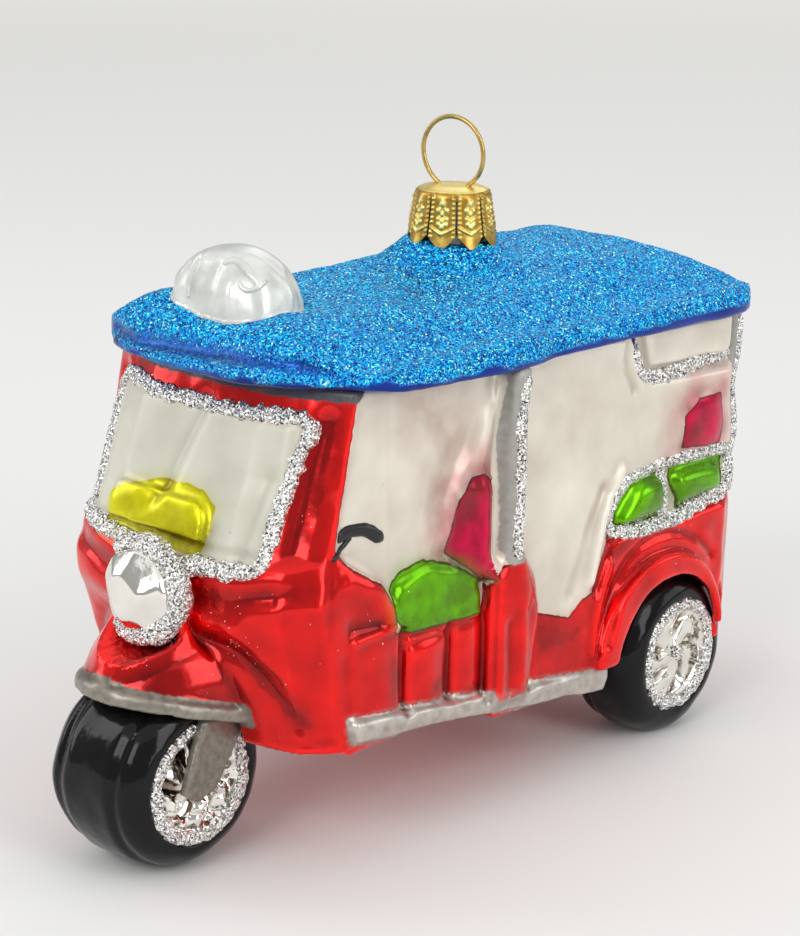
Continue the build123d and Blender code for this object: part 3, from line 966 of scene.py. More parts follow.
@dataclass
class GlassBody:
    """The blown body: front, mudguard, cabin, doorways, seats, windows and rear.

    Attributes:
        voxel: The step of the glass's grid, in millimetres.
        soften: How many times it is relaxed.
        overlap: How far paint runs past the solids it covers.
        melts: Where the sides are relaxed further: from and to along, from and to in height, and how often.
        waves: Its unevenness, as in lumps.
        lamp: Where the lamp's middle is moulded, across and in height.
        lamp_shift: How far the glass is drawn from there to where the lamp lies.
        seat: Where the glass is pushed back round the lamp: across, along, height and radius.
        front_y: Ahead of this the glass counts as the front.
        back_y: Behind this it counts as the back.
        flank_x: Further out than this it counts as a side.
        clear: Where the pillar keeps the side's colours off, from and to.
        clear_low: Where that starts below a height, and the height.
        red_inset: How far inside the red its painted shade stays.
        spray_low_z: Height under which green overspray is kept off.
        screen: The windscreen's panes.
        red_edge: The red lacquer on the side.
        greys: Outlines of grey paint behind glitter lines, and how far off the middle each starts.
        under_roof: The dark smear under the front of the roof.
        rear_screen: The pane at the back.
        areas: The painted areas, with the side on which each is drawn.
        folds: The folds of the glass.
        paints: The paints, from the lowest.
        coated: The solids that a paint covers whole.
        slots: The material slots and their solids.
    """

    voxel: float = 0.34
    soften: int = 16
    overlap: float = 0.65
    melts: tuple[tuple[float, ...], ...] = (
        (-27, 23, 15, 51, 10),
        (-5, 9, 33, 62, 50),
        (-1.5, 9.5, 16, 36, 60),
        (22, 54, 32.5, 52, 70),
        (24, 54, 52, 62, 10),
    )
    waves: tuple[tuple[float, float, int], ...] = ((0.22, 7.0, 11), (0.10, 3.0, 12))
    lamp: tuple[float, float] = (0.0, 34.4)
    lamp_shift: tuple[float, float] = (0.8, 2.1)
    seat: tuple[float, float, float, float] = (0.8, -41.0, 36.2, 8.0)
    front_y: float = -22.0
    back_y: float = 50.0
    flank_x: float = 12.0
    clear: tuple[float, float] = (-1.5, 6.0)
    clear_low: tuple[float, float] = (-3.3, 33.0)
    red_inset: float = 0.2
    spray_low_z: float = 30.4
    screen: Outline = line(
        -17.6, 41, -8, 40.4, 8, 40.2, 15.3, 40.4, 16, 44, 16.9, 58.4, 0, 58, -18, 58.6, -18.6, 50,
    )
    red_edge: Outline = line(
        -60, 64, -26.4, 64, -26.6, 61, -30.3, 43, -28.2, 40.8, -22, 37.5, -19.3, 33.4, -19.6, 30.6, -16.8, 30,
        -10, 29.6, -3.4, 29.8, -2.4, 33, -0.8, 35.4, 1.8, 36.2, 4.2, 35.2, 6.4, 31.8, 7.4, 26.6, 9.4, 26,
        14.9, 24.2, 17.6, 26.2, 19.6, 26.6, 20.6, 29.6, 22.2, 33.6, 30, 33.4, 38, 34, 60, 34.8, 60, 0, -60, 0,
    )
    greys: tuple[tuple[float, Outline], ...] = (
        (12.0, line(-0.2, 63, -0.6, 58, -1.1, 52.4, -0.8, 47.5, -0.6, 42.8, -0.6, 38, -0.2, 35.4, 2.8, 35.4,
                    3.1, 39.2, 3.2, 45, 3.2, 51.2, 3.2, 55.5, 3.4, 63)),
        (19.4, line(49.6, 63, 50.4, 56, 50.2, 50, 50.8, 44, 51.2, 38, 51.8, 34.2, 60, 34, 60, 63)),
    )
    under_roof: Outline = line(-60, 61.2, -30, 60.7, -26, 60.9, -22, 63.5, -22, 80, -60, 80)
    rear_screen: Outline = line(-13.6, 42.5, 13.6, 42.5, 13.6, 54.5, -13.6, 54.5)
    areas: tuple[tuple[Lacquer, View, Outline], ...] = (
        # Painted shade and dark reflections on the red: the A-pillars, the hollows under the windscreen and round the
        # mudguard, and dark patches low on the sides.
        (RED_SHADE, FRONT, line(17.4, 58.4, 19.8, 58.4, 20.1, 50, 19.6, 42.6, 17.2, 42.6, 17, 50)),
        (RED_SHADE, FRONT, line(1.5, 29, 5.5, 29.6, 9, 28.4, 11.5, 25.4, 12.2, 23.4, 8.5, 23, 4, 24, 1.5, 26)),
        (RED_SHADE, FRONT, line(6.6, 37.4, 12, 38, 17, 38.6, 17.4, 37.6, 12, 36.6, 7, 36)),
        (RED_SHADE, FRONT, line(14.2, 28.4, 16.4, 25.6, 18.2, 21.6, 17.4, 21, 15.2, 24.6, 13, 27.4)),
        (RED_SHADE, FRONT, line(-6, 37.4, -12, 38, -17, 38.6, -12, 36.8)),
        (RED_SHADE, SIDE, line(-27.6, 33.2, -22.6, 33, -20.6, 31.8, -24, 31.6, -27.6, 32)),
        (RED_SHADE, SIDE, line(-20, 27.5, -18.4, 27, -18.6, 22, -20.4, 22.6)),
        (RED_SHADE, SIDE, line(-9.9, 26.4, -9.5, 20.8, -12.6, 20.8, -12, 22.2, -10.6, 22.6)),
        (RED_SHADE, SIDE, line(1.6, 33.6, 3.2, 33.8, 3.2, 31.2, 2.2, 30.4, 1.4, 31.8)),
        (RED_SHADE, SIDE, line(22.8, 31.4, 27, 33, 33, 33, 28, 32, 24, 30.2)),
        (RED_SHADE, SIDE, line(9, 24.4, 15, 22, 18, 22.6, 16, 20.6, 9, 20.8)),
        # Painted shade and dark reflections: between the cushion and the seat back, under and in the middle of the
        # cushion, at the top of the seat back, in the side panes, on the rear seat and along the foot of the
        # windscreen.
        (PAINTED_SHADE, SIDE, line(-10.4, 38.4, -7.6, 37, -4.6, 35.4, -2.4, 33.6, -2.8, 32.8, -5.2, 34.4, -8, 36)),
        (PAINTED_SHADE, SIDE, line(-7.4, 45, -5.6, 47.2, -3.6, 47.4, -4.2, 45.4, -5.6, 43, -7.4, 42.6)),
        (PAINTED_SHADE, SIDE, line(-18.6, 30.6, -10.4, 29.8, -3.2, 29.6, -3.4, 30.1, -10.4, 30.3, -17, 30.9)),
        (PAINTED_SHADE, SIDE, line(-9.6, 32.6, -7, 34, -4.6, 32.8, -6.6, 31.6)),
        (PAINTED_SHADE, SIDE, line(29.6, 34.6, 33.8, 34.8, 34.2, 38.4, 32.6, 39.2, 30.8, 37)),
        (PAINTED_SHADE, SIDE, line(37.8, 36.2, 43, 36, 45.4, 37, 41, 38.2, 38, 38.2)),
        (PAINTED_SHADE, SIDE, line(38.2, 44.2, 40.8, 43.8, 41.6, 45.8, 39.6, 46.2)),
        (PAINTED_SHADE, FRONT, line(-12.2, 41.2, -4, 41, 5.8, 41, 6.3, 43.6, 5.4, 43, 4.8, 41.8, -4, 41.7)),
        # Painted shade in the front doorway, laid only as a wide soft spray.
        (DOORWAY_SHADE, SIDE, line(-14, 59, -9, 53, -10, 44, -8.9, 53)),
        (GREEN, SIDE, line(-20.6, 36.4, -18.4, 38.2, -14.1, 38.9, -9.4, 37.4, -6, 35.6, -3, 33.6, -1.8, 31.8,
                           -2.8, 29, -10.6, 29.3, -17.4, 29.8, -19.8, 32.2)),
        (MAGENTA, SIDE, line(-9.9, 38.6, -9, 42.3, -7.7, 45.5, -5.4, 47.8, -3.1, 48, -1, 46.1, -0.3, 41.7,
                             -0.4, 37.1, -1.4, 33.4, -3.4, 33.6, -6, 35.8)),
        (GREEN, SIDE, line(24.6, 34.9, 25, 38.2, 27, 40, 30, 40.8, 34.4, 40.9, 35.2, 38, 35.4, 33.9, 29.9, 34.1)),
        (GREEN, SIDE, line(37.2, 38.2, 37, 40.9, 44, 41, 49.8, 40.6, 50.2, 36, 43.8, 35.2, 39.2, 34.2)),
        (MAGENTA, SIDE, line(37.9, 43.6, 38, 48.4, 39.8, 49.4, 41.4, 50.3, 46.8, 50.4, 47.6, 46, 47.2, 42.6,
                             43.4, 42.9)),
        (YELLOW, FRONT, line(-13, 40.6, -12.8, 42.6, -11.7, 45.2, -8.8, 46.9, -5.4, 47.8, -4, 48.2, -1.6, 48.3,
                             1, 48.7, 4.2, 48.3, 6.5, 46.8, 6.6, 43.6, 5.6, 40.6)),
    )
    folds: tuple[Fold, ...] = (
        # The front doorway: its tall curved fold and hollow, and the soft shapes beside them.
        *folds(
            SIDE,
            (1.7, 0.62, 1.6, 61, -0.2, 58.4, -2, 55.8, -3.4, 53, -5, 50.4, -7.6, 46.6, -9.6, 42),
            (2, -0.55, -2.6, 59, -4.4, 55, -6.6, 52, -9.6, 49, -12, 45),
            (4, 0.5, -14, 56, -17, 50, -15, 43),
            (1.8, 0.7, -3, 61, -3.4, 50, -3, 36),
        ),
        *folds(FRONT, (1.2, -0.75, 18.8, 58.6, 18.6, 50, 18.6, 43), mirrored=True),
        *folds(
            SIDE,
            # The swellings of the seat box.
            (3, 0.5, -22.4, 28, -22.2, 22),
            (2.8, 0.5, -13.3, 26.6, -13.2, 21),
            (2.2, 0.5, -5.6, 26.6, -5.4, 21),
            # The rear doorway.
            (0.9, 0.7, 24.6, 43, 21.6, 38.4, 20, 33.4, 18.9, 28.4),
            (1.4, -0.7, 21.4, 40.6, 18.8, 36, 17.4, 31.6, 15.6, 27.6),
            (1, -0.5, 24.2, 34.4, 21.8, 30.4, 20.2, 27),
            (5, 0.5, 12, 58, 14, 48, 11, 36),
            (0.9, -0.45, 25.4, 61, 25, 57.6, 27, 54),
            # Seat box: the gaps between its panels and the ledge above them.
            (0.7, -0.85, -17.7, 30, -17.6, 20),
            (0.7, -0.8, -8.9, 28.6, -8.8, 19.6),
            (0.7, 0.45, -26.6, 31, -19, 31.4),
            (0.6, 0.4, -16.6, 28.6, -3.4, 29.2),
            (0.8, -0.55, -2.4, 33, -2.3, 17),
            # The pillar's foot.
            (0.9, -0.8, 7.9, 27, 6.6, 17),
            (2.2, 0.7, 2.4, 33.4, 2.6, 31),
            (1, -0.4, 0.4, 27, 0.8, 18),
            (1, 0.35, 2.8, 29, 3.2, 19),
            # The fender's second ridge and the hollow behind it.
            (0.7, -0.45, 21.4, 19, 23.4, 26, 28.6, 30.8, 35, 32, 42, 30.4, 47, 26),
            (0.7, 0.45, 19.8, 18, 20.6, 25, 23, 30),
        ),
        # Windscreen: two panes that meet in a soft valley, and a hollow at the right.
        *folds(
            FRONT,
            (1.5, -0.7, 0.2, 58, -0.6, 55, -2, 51.4, -3.2, 47.6),
            (4.5, 0.35, -9, 56, -10, 50),
            (1.9, -0.8, 13, 51, 11.6, 42),
        ),
        # Nose: roll under the windscreen, dark hollow below it, and the long creases of the leg shield.
        *folds(
            FRONT,
            (1.6, 0.5, 5.6, 38.4, 11, 38.8, 16, 39.6, 20.4, 41),
            (1.5, -0.6, 7.2, 36.3, 12.4, 36.8, 17.4, 37.8),
            (2, 0.5, 8.2, 33.4, 12.6, 33.8, 16.6, 33.4),
            (0.8, 0.5, 10, 15.6, 16, 16.4, 21, 17.6),
            mirrored=True,
        ),
        *folds(
            FRONT,
            (1.5, -0.9, 3.2, 30.2, 7.6, 30.6, 11.8, 30, 14.8, 27.2, 17.2, 23, 18.6, 20.6),
            (1.6, 0.55, 12.2, 33, 16.6, 30, 20, 25.4, 20.4, 20.2),
            (1.5, -0.9, -3.2, 30.2, -7.6, 30.6, -11.8, 30, -14.8, 27.2, -17.2, 23),
        ),
        *folds(SIDE, (1.6, 0.55, -28, 38.8, -23, 36.4, -20.6, 33), (1.2, -0.35, -27, 33.2, -22.6, 32.4)),
        # Back: a bumper roll, the seam above the lacquer and a soft middle crease.
        *folds(
            REAR,
            (1.8, 0.6, -19, 23, 0, 22.4, 19, 23),
            (1, -0.45, -21, 34, -8, 33.6, 9, 34.2, 21, 34),
            (2.4, -0.35, -1, 32, 0.6, 28, -0.4, 25),
            (2.4, 0.4, -16, 30.5, -15, 27),
            (2.4, 0.4, 15, 30.5, 16, 27),
            (1.8, -0.3, 2, 53, -2, 48, -1, 44),
        ),
        *folds(REAR, (1.4, -0.35, 17, 58, 18, 50, 17.6, 40), mirrored=True),
        # Plate: a crease between its two lobes.
        *folds(
            FRONT,
            (0.9, -0.2, -2.4, 48.2, -3.4, 46),
            (1.4, 0.25, -10.4, 44.6, -6.4, 46),
            (1.4, 0.25, -0.6, 46.4, 3.8, 45.6),
        ),
    )
    paints: tuple[Paint, ...] = (
        Paint(SHADED_SCREEN, 0.1, 0.3, 0.2),
        Paint(DOORWAY_SHADE, 0.2, 13.0, 0.95, core=0.0),
        Paint(RED, 0.22, 1.3, 0.3, 1.1),
        Paint(RED_SHADE, 0.6, 2.0, 0.5, core=0.8),
        Paint(GREY, 0.25, 0.4, 0.3),
        Paint(MAGENTA, 0.2, 6.5, 0.7, 1.0),
        Paint(GREEN, 0.3, 2.2, 0.5, 1.6),
        Paint(YELLOW, 0.2, 1.8, 0.4, 0.5),
        Paint(PAINTED_SHADE, 1.0, 2.6, 0.5, core=0.45),
        Paint(SILVER, 0.3, 0.4, 0.2, 0.2),
        Paint(SILL, 0.5, 0.6, 0.4, 0.3),
        Paint(SMEAR, 0.5, 0.6, 0.3),
    )
    coated: tuple[tuple[Lacquer, tuple[str, ...]], ...] = ((SILVER, ("mudguard_edge",)), (SILL, both("sill")))
    slots: tuple[tuple[str, tuple[str, ...]], ...] = (
        (
            "red_lacquer",
            ("front_shell", "mudguard", "rear_body", "floor", *both("hump"), *both("side_boxes"),
             *both("pillar_foot"), *both("arch_lip")),
        ),
        ("white_pearl", ("cabin", "windscreen", "rear_window")),
        ("yellow_lacquer", ("number_plate",)),
        ("green_lacquer", (*both("cushion"), *both("window_front"), *both("window_rear"))),
        ("magenta_lacquer", (*both("seat_back"), *both("rear_seat"))),
        ("silver_paint", (*both("sill"), "mudguard_edge")),
        ("silver_glitter", (*both("pillar"), "headlight_trim")),
    )

    def finish(self) -> bpy.types.Material:
        """Makes the body's finish: pearl glass with the painted areas laid over each other, some of them painted
        shade, and every lacquer painted darker in hollows.

        Returns:
            The finish.
        """
        kit = Kit("painted_glass")
        hollow = kit.value("hollow")
        colour = PEARL.colour(kit, hollow)
        traits = {"metallic": PEARL.metallic, "roughness": PEARL.roughness, "coat": PEARL.coat}
        for paint in self.paints:
            mask, pool = paint.layers(kit)
            colour = kit.mix(mask, colour, paint.lacquer.colour(kit, hollow + pool))
            traits = {key: kit.blend(mask, value, getattr(paint.lacquer, key)) for key, value in traits.items()}
        return kit.dress(
            Specular_IOR_Level=0.3,
            Base_Color=colour,
            Metallic=traits["metallic"],
            Roughness=traits["roughness"] + (kit.noise(3.0) - 0.5) * 0.08,
            Coat_Weight=traits["coat"],
            Coat_Roughness=0.03,
            Normal=kit.bump(2.2, 0.05),
        )

    def edges(self, points: np.ndarray) -> dict[str, np.ndarray]:
        """Works out how far each point lies from the edge of each painted area.

        Args:
            points: The skin's points.

        Returns:
            The distances by attribute name, less than nought inside an area.
        """
        found: dict[str, np.ndarray] = {}

        def add(lacquer: Lacquer, here: np.ndarray, away: np.ndarray) -> None:
            """Lays an area where it counts, over what the lacquer has elsewhere."""
            name = "edge_" + lacquer.name
            found[name] = np.minimum(found.get(name, FAR), np.where(here, away, FAR))

        side, front, off = SIDE.flat(points), points[:, 1] < self.front_y, np.abs(points[:, 0])
        screen = outline_distance(FRONT.flat(points), self.screen)
        red = outline_distance(side, self.red_edge)
        red = np.where(front, np.maximum(red, -screen), red)
        add(RED, red < FAR, red)
        add(SMEAR, front, outline_distance(side, self.under_roof))
        add(SHADED_SCREEN, front, screen)
        add(SHADED_SCREEN, points[:, 1] > self.back_y, outline_distance(REAR.flat(points), self.rear_screen))
        for inner, outline in self.greys:
            add(GREY, off > inner, outline_distance(side, outline))
        for lacquer, names in self.coated:
            for name in names:
                add(lacquer, off < FAR, node_distance(name, points) - self.overlap)
        low_start, low_z = self.clear_low
        start = np.where(points[:, 2] < low_z, low_start, self.clear[0])
        flank = (off > self.flank_x) & ((side[:, 0] < start) | (side[:, 0] > self.clear[1]))
        for lacquer, view, outline in self.areas:
            away = outline_distance(view.flat(points), outline)
            seen = front if view is FRONT else flank
            if lacquer is RED_SHADE:
                seen = seen & (red <= -self.red_inset)
            if lacquer is GREEN:
                seen = seen & ((away <= 0) | (points[:, 2] >= self.spray_low_z))
            add(lacquer, seen, away)
        return found

    def round_lamp(self, points: np.ndarray) -> np.ndarray:
        """Draws the glass to where the lamp lies, and pushes it back round the lamp.

        Args:
            points: The skin's points.

        Returns:
            The points in their new places.
        """
        moved = points.copy()
        off = np.hypot(points[:, 0] - self.lamp[0], points[:, 2] - self.lamp[1])
        share = ramp(-38.6 - points[:, 1], 1.5) * ramp(9.0 - off, 2.5)
        moved[:, 0] += self.lamp_shift[0] * share
        moved[:, 2] += self.lamp_shift[1] * share
        across, along, height, radius = self.seat
        off = np.hypot(moved[:, 0] - across, moved[:, 2] - height)
        moved[:, 1] += ramp(radius - off, 0.8) * 0.9 * np.maximum(along - moved[:, 1], 0)
        return moved

    def build(self) -> BVHTree:
        """Melts the forms into one skin, folds and paints it, and parts it into its pieces.

        Returns:
            The skin's surface, for what lies on it.
        """
        names = [name for _, group in self.slots for name in group]
        skin = fused(names, self.voxel, self.soften)
        points, faces = drawn(skin), faces_of(skin)
        for low_y, high_y, low_z, high_z, rounds in self.melts:
            share = ramp(np.abs(points[:, 0]) - self.flank_x, 3)
            share *= ramp(points[:, 1] - low_y, 1.5) * ramp(high_y - points[:, 1], 1.5)
            share *= ramp(points[:, 2] - low_z, 1.5) * ramp(high_z - points[:, 2], 1.5)
            points = relaxed(points, faces, share, rounds)
        normals = reshaped(skin, points)
        painted = points + normals * (folded(points, normals, self.folds) + lumps(points, *self.waves))[:, None]
        points = self.round_lamp(waved(eased(painted)))
        normals = reshaped(skin, points)
        # The hollow measure paints shade into the lacquers in creases and paints light on ridges, over the lacquer's
        # own pooling.
        values = self.edges(painted) | {"hollow": hollows(points, normals, faces)}
        owner = nearest_nodes(names, points[faces].mean(axis=1))
        material = self.finish()
        for slot, group in self.slots:
            for name in group:
                used, index = np.unique(faces[owner == names.index(name)], return_inverse=True)
                if not len(used):
                    continue
                own = {key: rows[used] for key, rows in values.items()}
                corners = index.reshape(-1, 4)
                piece = make_object(name + "_glass", points[used], corners, material, closed=False, **own)
                piece.data.normals_split_custom_set_from_vertices(normals[used].tolist())
                set_piece(piece, "ornament", slot, name)
        bpy.data.meshes.remove(skin)
        return BVHTree.FromPolygons(points.tolist(), faces.tolist())


def build_grips(body: BVHTree) -> None:
    """Lays the black strokes of the steering grip and its stem on the glass.

    Args:
        body: The body's surface.
    """
    black = BLACK.alone()
    grip = line(-28.3, 43.9, -27, 44.9, -25, 45, -23, 44.3, -21.3, 42.9)
    stem = line(-26, 44.3, -27.6, 43, -29.6, 41.9)
    stroke = Bead("grip_stroke", SIDE, 0.95, 0.45, grip, grain=0.0, ragged=0.15)
    stroke.lay((body, body), black, "black_paint", 141, *both("grip"))
    Bead("grip_stem", SIDE, 0.42, 0.3, stem, grain=0.0, ragged=0.2).lay((body, body), black, "black_paint", 143)


def node_distance(name: str, points: np.ndarray, reach: float = 5.0) -> np.ndarray:
    """Distance of points from a solid's surface.

    Args:
        name: The solid.
        points: Drawn points.
        reach: How far off it is worked out; beyond that the answer is far.

    Returns:
        The distance of each point.
    """
    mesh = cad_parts[name].data
    solid = drawn(mesh)
    tree = BVHTree.FromPolygons(solid.tolist(), [tuple(p.vertices) for p in mesh.polygons])
    near = np.all((points > solid.min(axis=0) - reach) & (points < solid.max(axis=0) + reach), axis=1)
    away = np.full(len(points), FAR)
    away[near] = [tree.find_nearest(point)[3] for point in points[near].tolist()]
    return away


def nearest_nodes(names: Sequence[str], points: np.ndarray) -> np.ndarray:
    """Finds the solid nearest to each point.

    Args:
        names: The solids.
        points: Drawn points.

    Returns:
        For each point, the number of its solid in names.
    """
    corners, polygons, owners = [], [], []
    for index, name in enumerate(names):
        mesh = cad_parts[name].data
        polygons += [[corner + len(corners) for corner in p.vertices] for p in mesh.polygons]
        owners += [index] * len(mesh.polygons)
        corners += drawn(mesh).tolist()
    tree = BVHTree.FromPolygons(corners, polygons)
    return np.array([owners[tree.find_nearest(point)[2]] for point in points.tolist()])


def hollows(points: np.ndarray, normals: np.ndarray, faces: np.ndarray, rounds: int = 6) -> np.ndarray:
    """Measures how hollow a skin is at each point.

    Args:
        points: The skin's points.
        normals: Their normals.
        faces: Its four-sided faces.
        rounds: How widely it is averaged.

    Returns:
        A number for each point, from -1 on a ridge to 1 in a hollow.
    """
    first, second = faces.ravel(), np.roll(faces, -1, axis=1).ravel()
    count = np.bincount(first, minlength=len(points))[:, None].clip(1)
    spread = points
    for _ in range(rounds):
        spread = np.stack([np.bincount(first, spread[second, k], len(points)) for k in range(3)], 1) / count
    depth = np.einsum("ij,ij->i", spread - points, normals)
    return np.clip(depth / 0.25, -1, 1)


# ---------------------------------------------------------------- the roof


@dataclass
class Roof:
    """The glittered roof.

    Attributes:
        voxel: The size of a glitter facet, in millimetres.
        grain: How far facets stand up.
        waves: Its unevenness, as in lumps.
        bare: Points of distance along and height, below which the edge stays bare cobalt.
        groove: The groove of the front edge, where the glitter is thin.
        folds: Its rolls and grooves, and the collar round the neck.
    """

    voxel: float = 0.345
    grain: float = 0.085
    waves: tuple[tuple[float, float, int], ...] = ((0.4, 9.0, 21), (0.22, 4.0, 22))
    bare: Outline = line(-36, 63.4, -30, 63.2, -24, 63.5, -12, 62.5, 0, 62.2, 20, 62.5, 56, 62.7)
    groove: Outline = line(-22, 65.2, -16, 65, -4, 65.2, 11, 65.8, 24, 65.4)
    folds: tuple[Fold, ...] = (
        *folds(TOP, (4.5, 1, -13, -27.5, -5, -29), (4, 0.3, 2, -30.5, 12, -27.5)),
        *folds(
            FRONT,
            (1.2, -0.9, -16, 65, -4, 65.4, 11, 66.1, 24, 65.6),
            (0.9, 0.45, -16, 63.4, -4, 63.6, 11, 64.1, 24, 63.6),
        ),
        Fold(
            TOP,
            1.5,
            0.45,
            tuple((5.3 * math.cos(k * math.pi / 8), 15.4 + 5.3 * math.sin(k * math.pi / 8)) for k in range(17)),
        ),
        *folds(
            TOP,
            (2.4, 0.5, 24, -12, 24.6, 2, 24, 14),
            (3, -0.5, -4, 30, 8, 26, 20, 30),
            (3, -0.4, 20, -16, 12, -10, 8, 2),
        ),
    )

    def build(self) -> BVHTree:
        """Makes the roof, with facets where it is glittered and smooth glass where it is bare.

        Returns:
            Its surface, for what lies on it.
        """
        points, normals, faces = melted("roof", self.voxel, 24)
        lift = lumps(points, *self.waves) + folded(points, normals, self.folds)
        edge = np.interp(points[:, 1], *np.array(self.bare).T)
        grit = ramp(points[:, 2] - edge + lumps(points, (0.7, 2.2, 23)), 0.35) * ramp(normals[:, 2] + 0.45, 0.3)
        groove = bell(line_distance(FRONT.flat(points), self.groove), 1.2)
        grit *= 1 - 0.85 * groove * np.clip(-normals[:, 1] * 2 - 0.4, 0, 1)
        rough = np.random.default_rng(24).uniform(-1, 1, len(points)) * self.grain
        points = eased(points + normals * (lift + rough * grit)[:, None])
        smooth = grit[faces].mean(axis=1) < 0.5
        piece = make_object("roof_glass", points, faces, BLUE_GLITTER.alone(), smooth, grit=grit)
        set_piece(piece, "ornament", "blue_glitter", "roof")
        return BVHTree.FromPolygons(points.tolist(), faces.tolist())


@dataclass
class RoofSign:
    """The blank pearl sign on the roof, a crumpled dome with rounded corners.

    Attributes:
        middle: Its middle across and along.
        half: Its half width and half depth.
        base_z: Height of its foot, inside the roof.
        rise: Its height.
        rows: How many rings of points it has.
        turns: How many points each has.
        waves: Its unevenness, as in lumps.
        ridges: The thin ridges on its front.
        folds: Its creases.
    """

    middle: tuple[float, float] = (-0.4, -24.8)
    half: tuple[float, float] = (8.6, 5.6)
    base_z: float = 68.2
    rise: float = 8.7
    rows: int = 46
    turns: int = 180
    waves: tuple[tuple[float, float, int], ...] = ((0.18, 3.6, 51), (0.06, 1.6, 52))
    ridges: tuple[Outline, ...] = (
        line(0.9, 75.3, 2.2, 75.9, 3.6, 75.5, 4.6, 74.8, 5.7, 74.2, 6.6, 73.5, 6.5, 72.9, 5.6, 72.7, 4.8, 73.1,
             4.4, 73.7),
        line(-2.8, 75.9, -3.6, 73.4, -3.3, 70.6),
    )
    folds: tuple[Fold, ...] = (
        *folds(
            FRONT,
            (0.4, 0.22, -2.6, 76, -3.4, 73, -3.2, 70),
            (0.5, 0.2, -5, 75, -7.6, 72.2),
            (0.5, -0.2, 0.4, 75, 0.2, 72, 1, 70),
            (0.4, 0.25, 3.6, 73, 3.9, 70),
        ),
        *folds(SIDE, (0.5, 0.25, -25.4, 75.5, -23.6, 72.5, -24.4, 69), (0.5, -0.25, -22.4, 74, -21.6, 70)),
    )

    def build(self, roof: BVHTree) -> None:
        """Makes the dome as closed rings that shrink and square off from top to foot.

        Args:
            roof: The roof it stands on.
        """
        share = np.linspace(0, 1, self.rows)[:, None]
        angle = share * math.pi / 2
        shrink = np.where(share < 1, np.cos(angle).clip(0) ** 0.72, 0.004)
        x, y = self.around(self.turns, 3.4 - 1.4 * share, 0.0, shrink)
        points = np.stack([x, y, self.base_z + self.rise * np.sin(angle) ** 0.9 + 0 * x], 2).reshape(-1, 3)
        faces = tube(self.rows, self.turns)
        finish = SIGN.alone()
        plain = make_object("sign_plain", points, faces, finish)
        normals = normals_of(plain.data)
        bpy.data.objects.remove(plain)
        points = points + normals * (folded(points, normals, self.folds) + lumps(points, *self.waves))[:, None]
        piece = make_object("roof_sign_glass", points, faces, finish)
        set_piece(piece, "ornament", "white_pearl", "roof_sign")
        sign = BVHTree.FromPolygons(points.tolist(), faces)
        for index, ridge in enumerate(self.ridges):
            bead = Bead(f"sign_ridge_{index + 1}", FRONT, 0.36, 0.42, ridge, grain=0.0, ragged=0.2)
            bead.lay((sign,), finish, "white_pearl", 53 + index)
        foot = zip(*self.around(28, 3.2, 0.1))
        seam = Bead("sign_seam", TOP, 0.42, 0.35, tuple(foot), closed=True, grain=0.0)
        seam.lay((roof,), finish, "white_pearl", 58)

    def around(
        self, turns: int, power: float | np.ndarray, inset: float, shrink: float | np.ndarray = 1.0
    ) -> list[np.ndarray]:
        """Works out rings round the dome's middle, circles pushed outwards into rounded boxes.

        Args:
            turns: How many points a ring has.
            power: How square it is; 2 leaves it round.
            inset: How far it lies inside the dome's edge.
            shrink: Its size, as a share of the dome's.

        Returns:
            Its points' places across and along.
        """
        parts = np.cos(circle(turns)), np.sin(circle(turns))
        boxed = [np.sign(part) * np.abs(part) ** (2 / power) * shrink for part in parts]
        return [middle + (half - inset) * part for middle, half, part in zip(self.middle, self.half, boxed)]


# ---------------------------------------------------------------- lamp and wheels


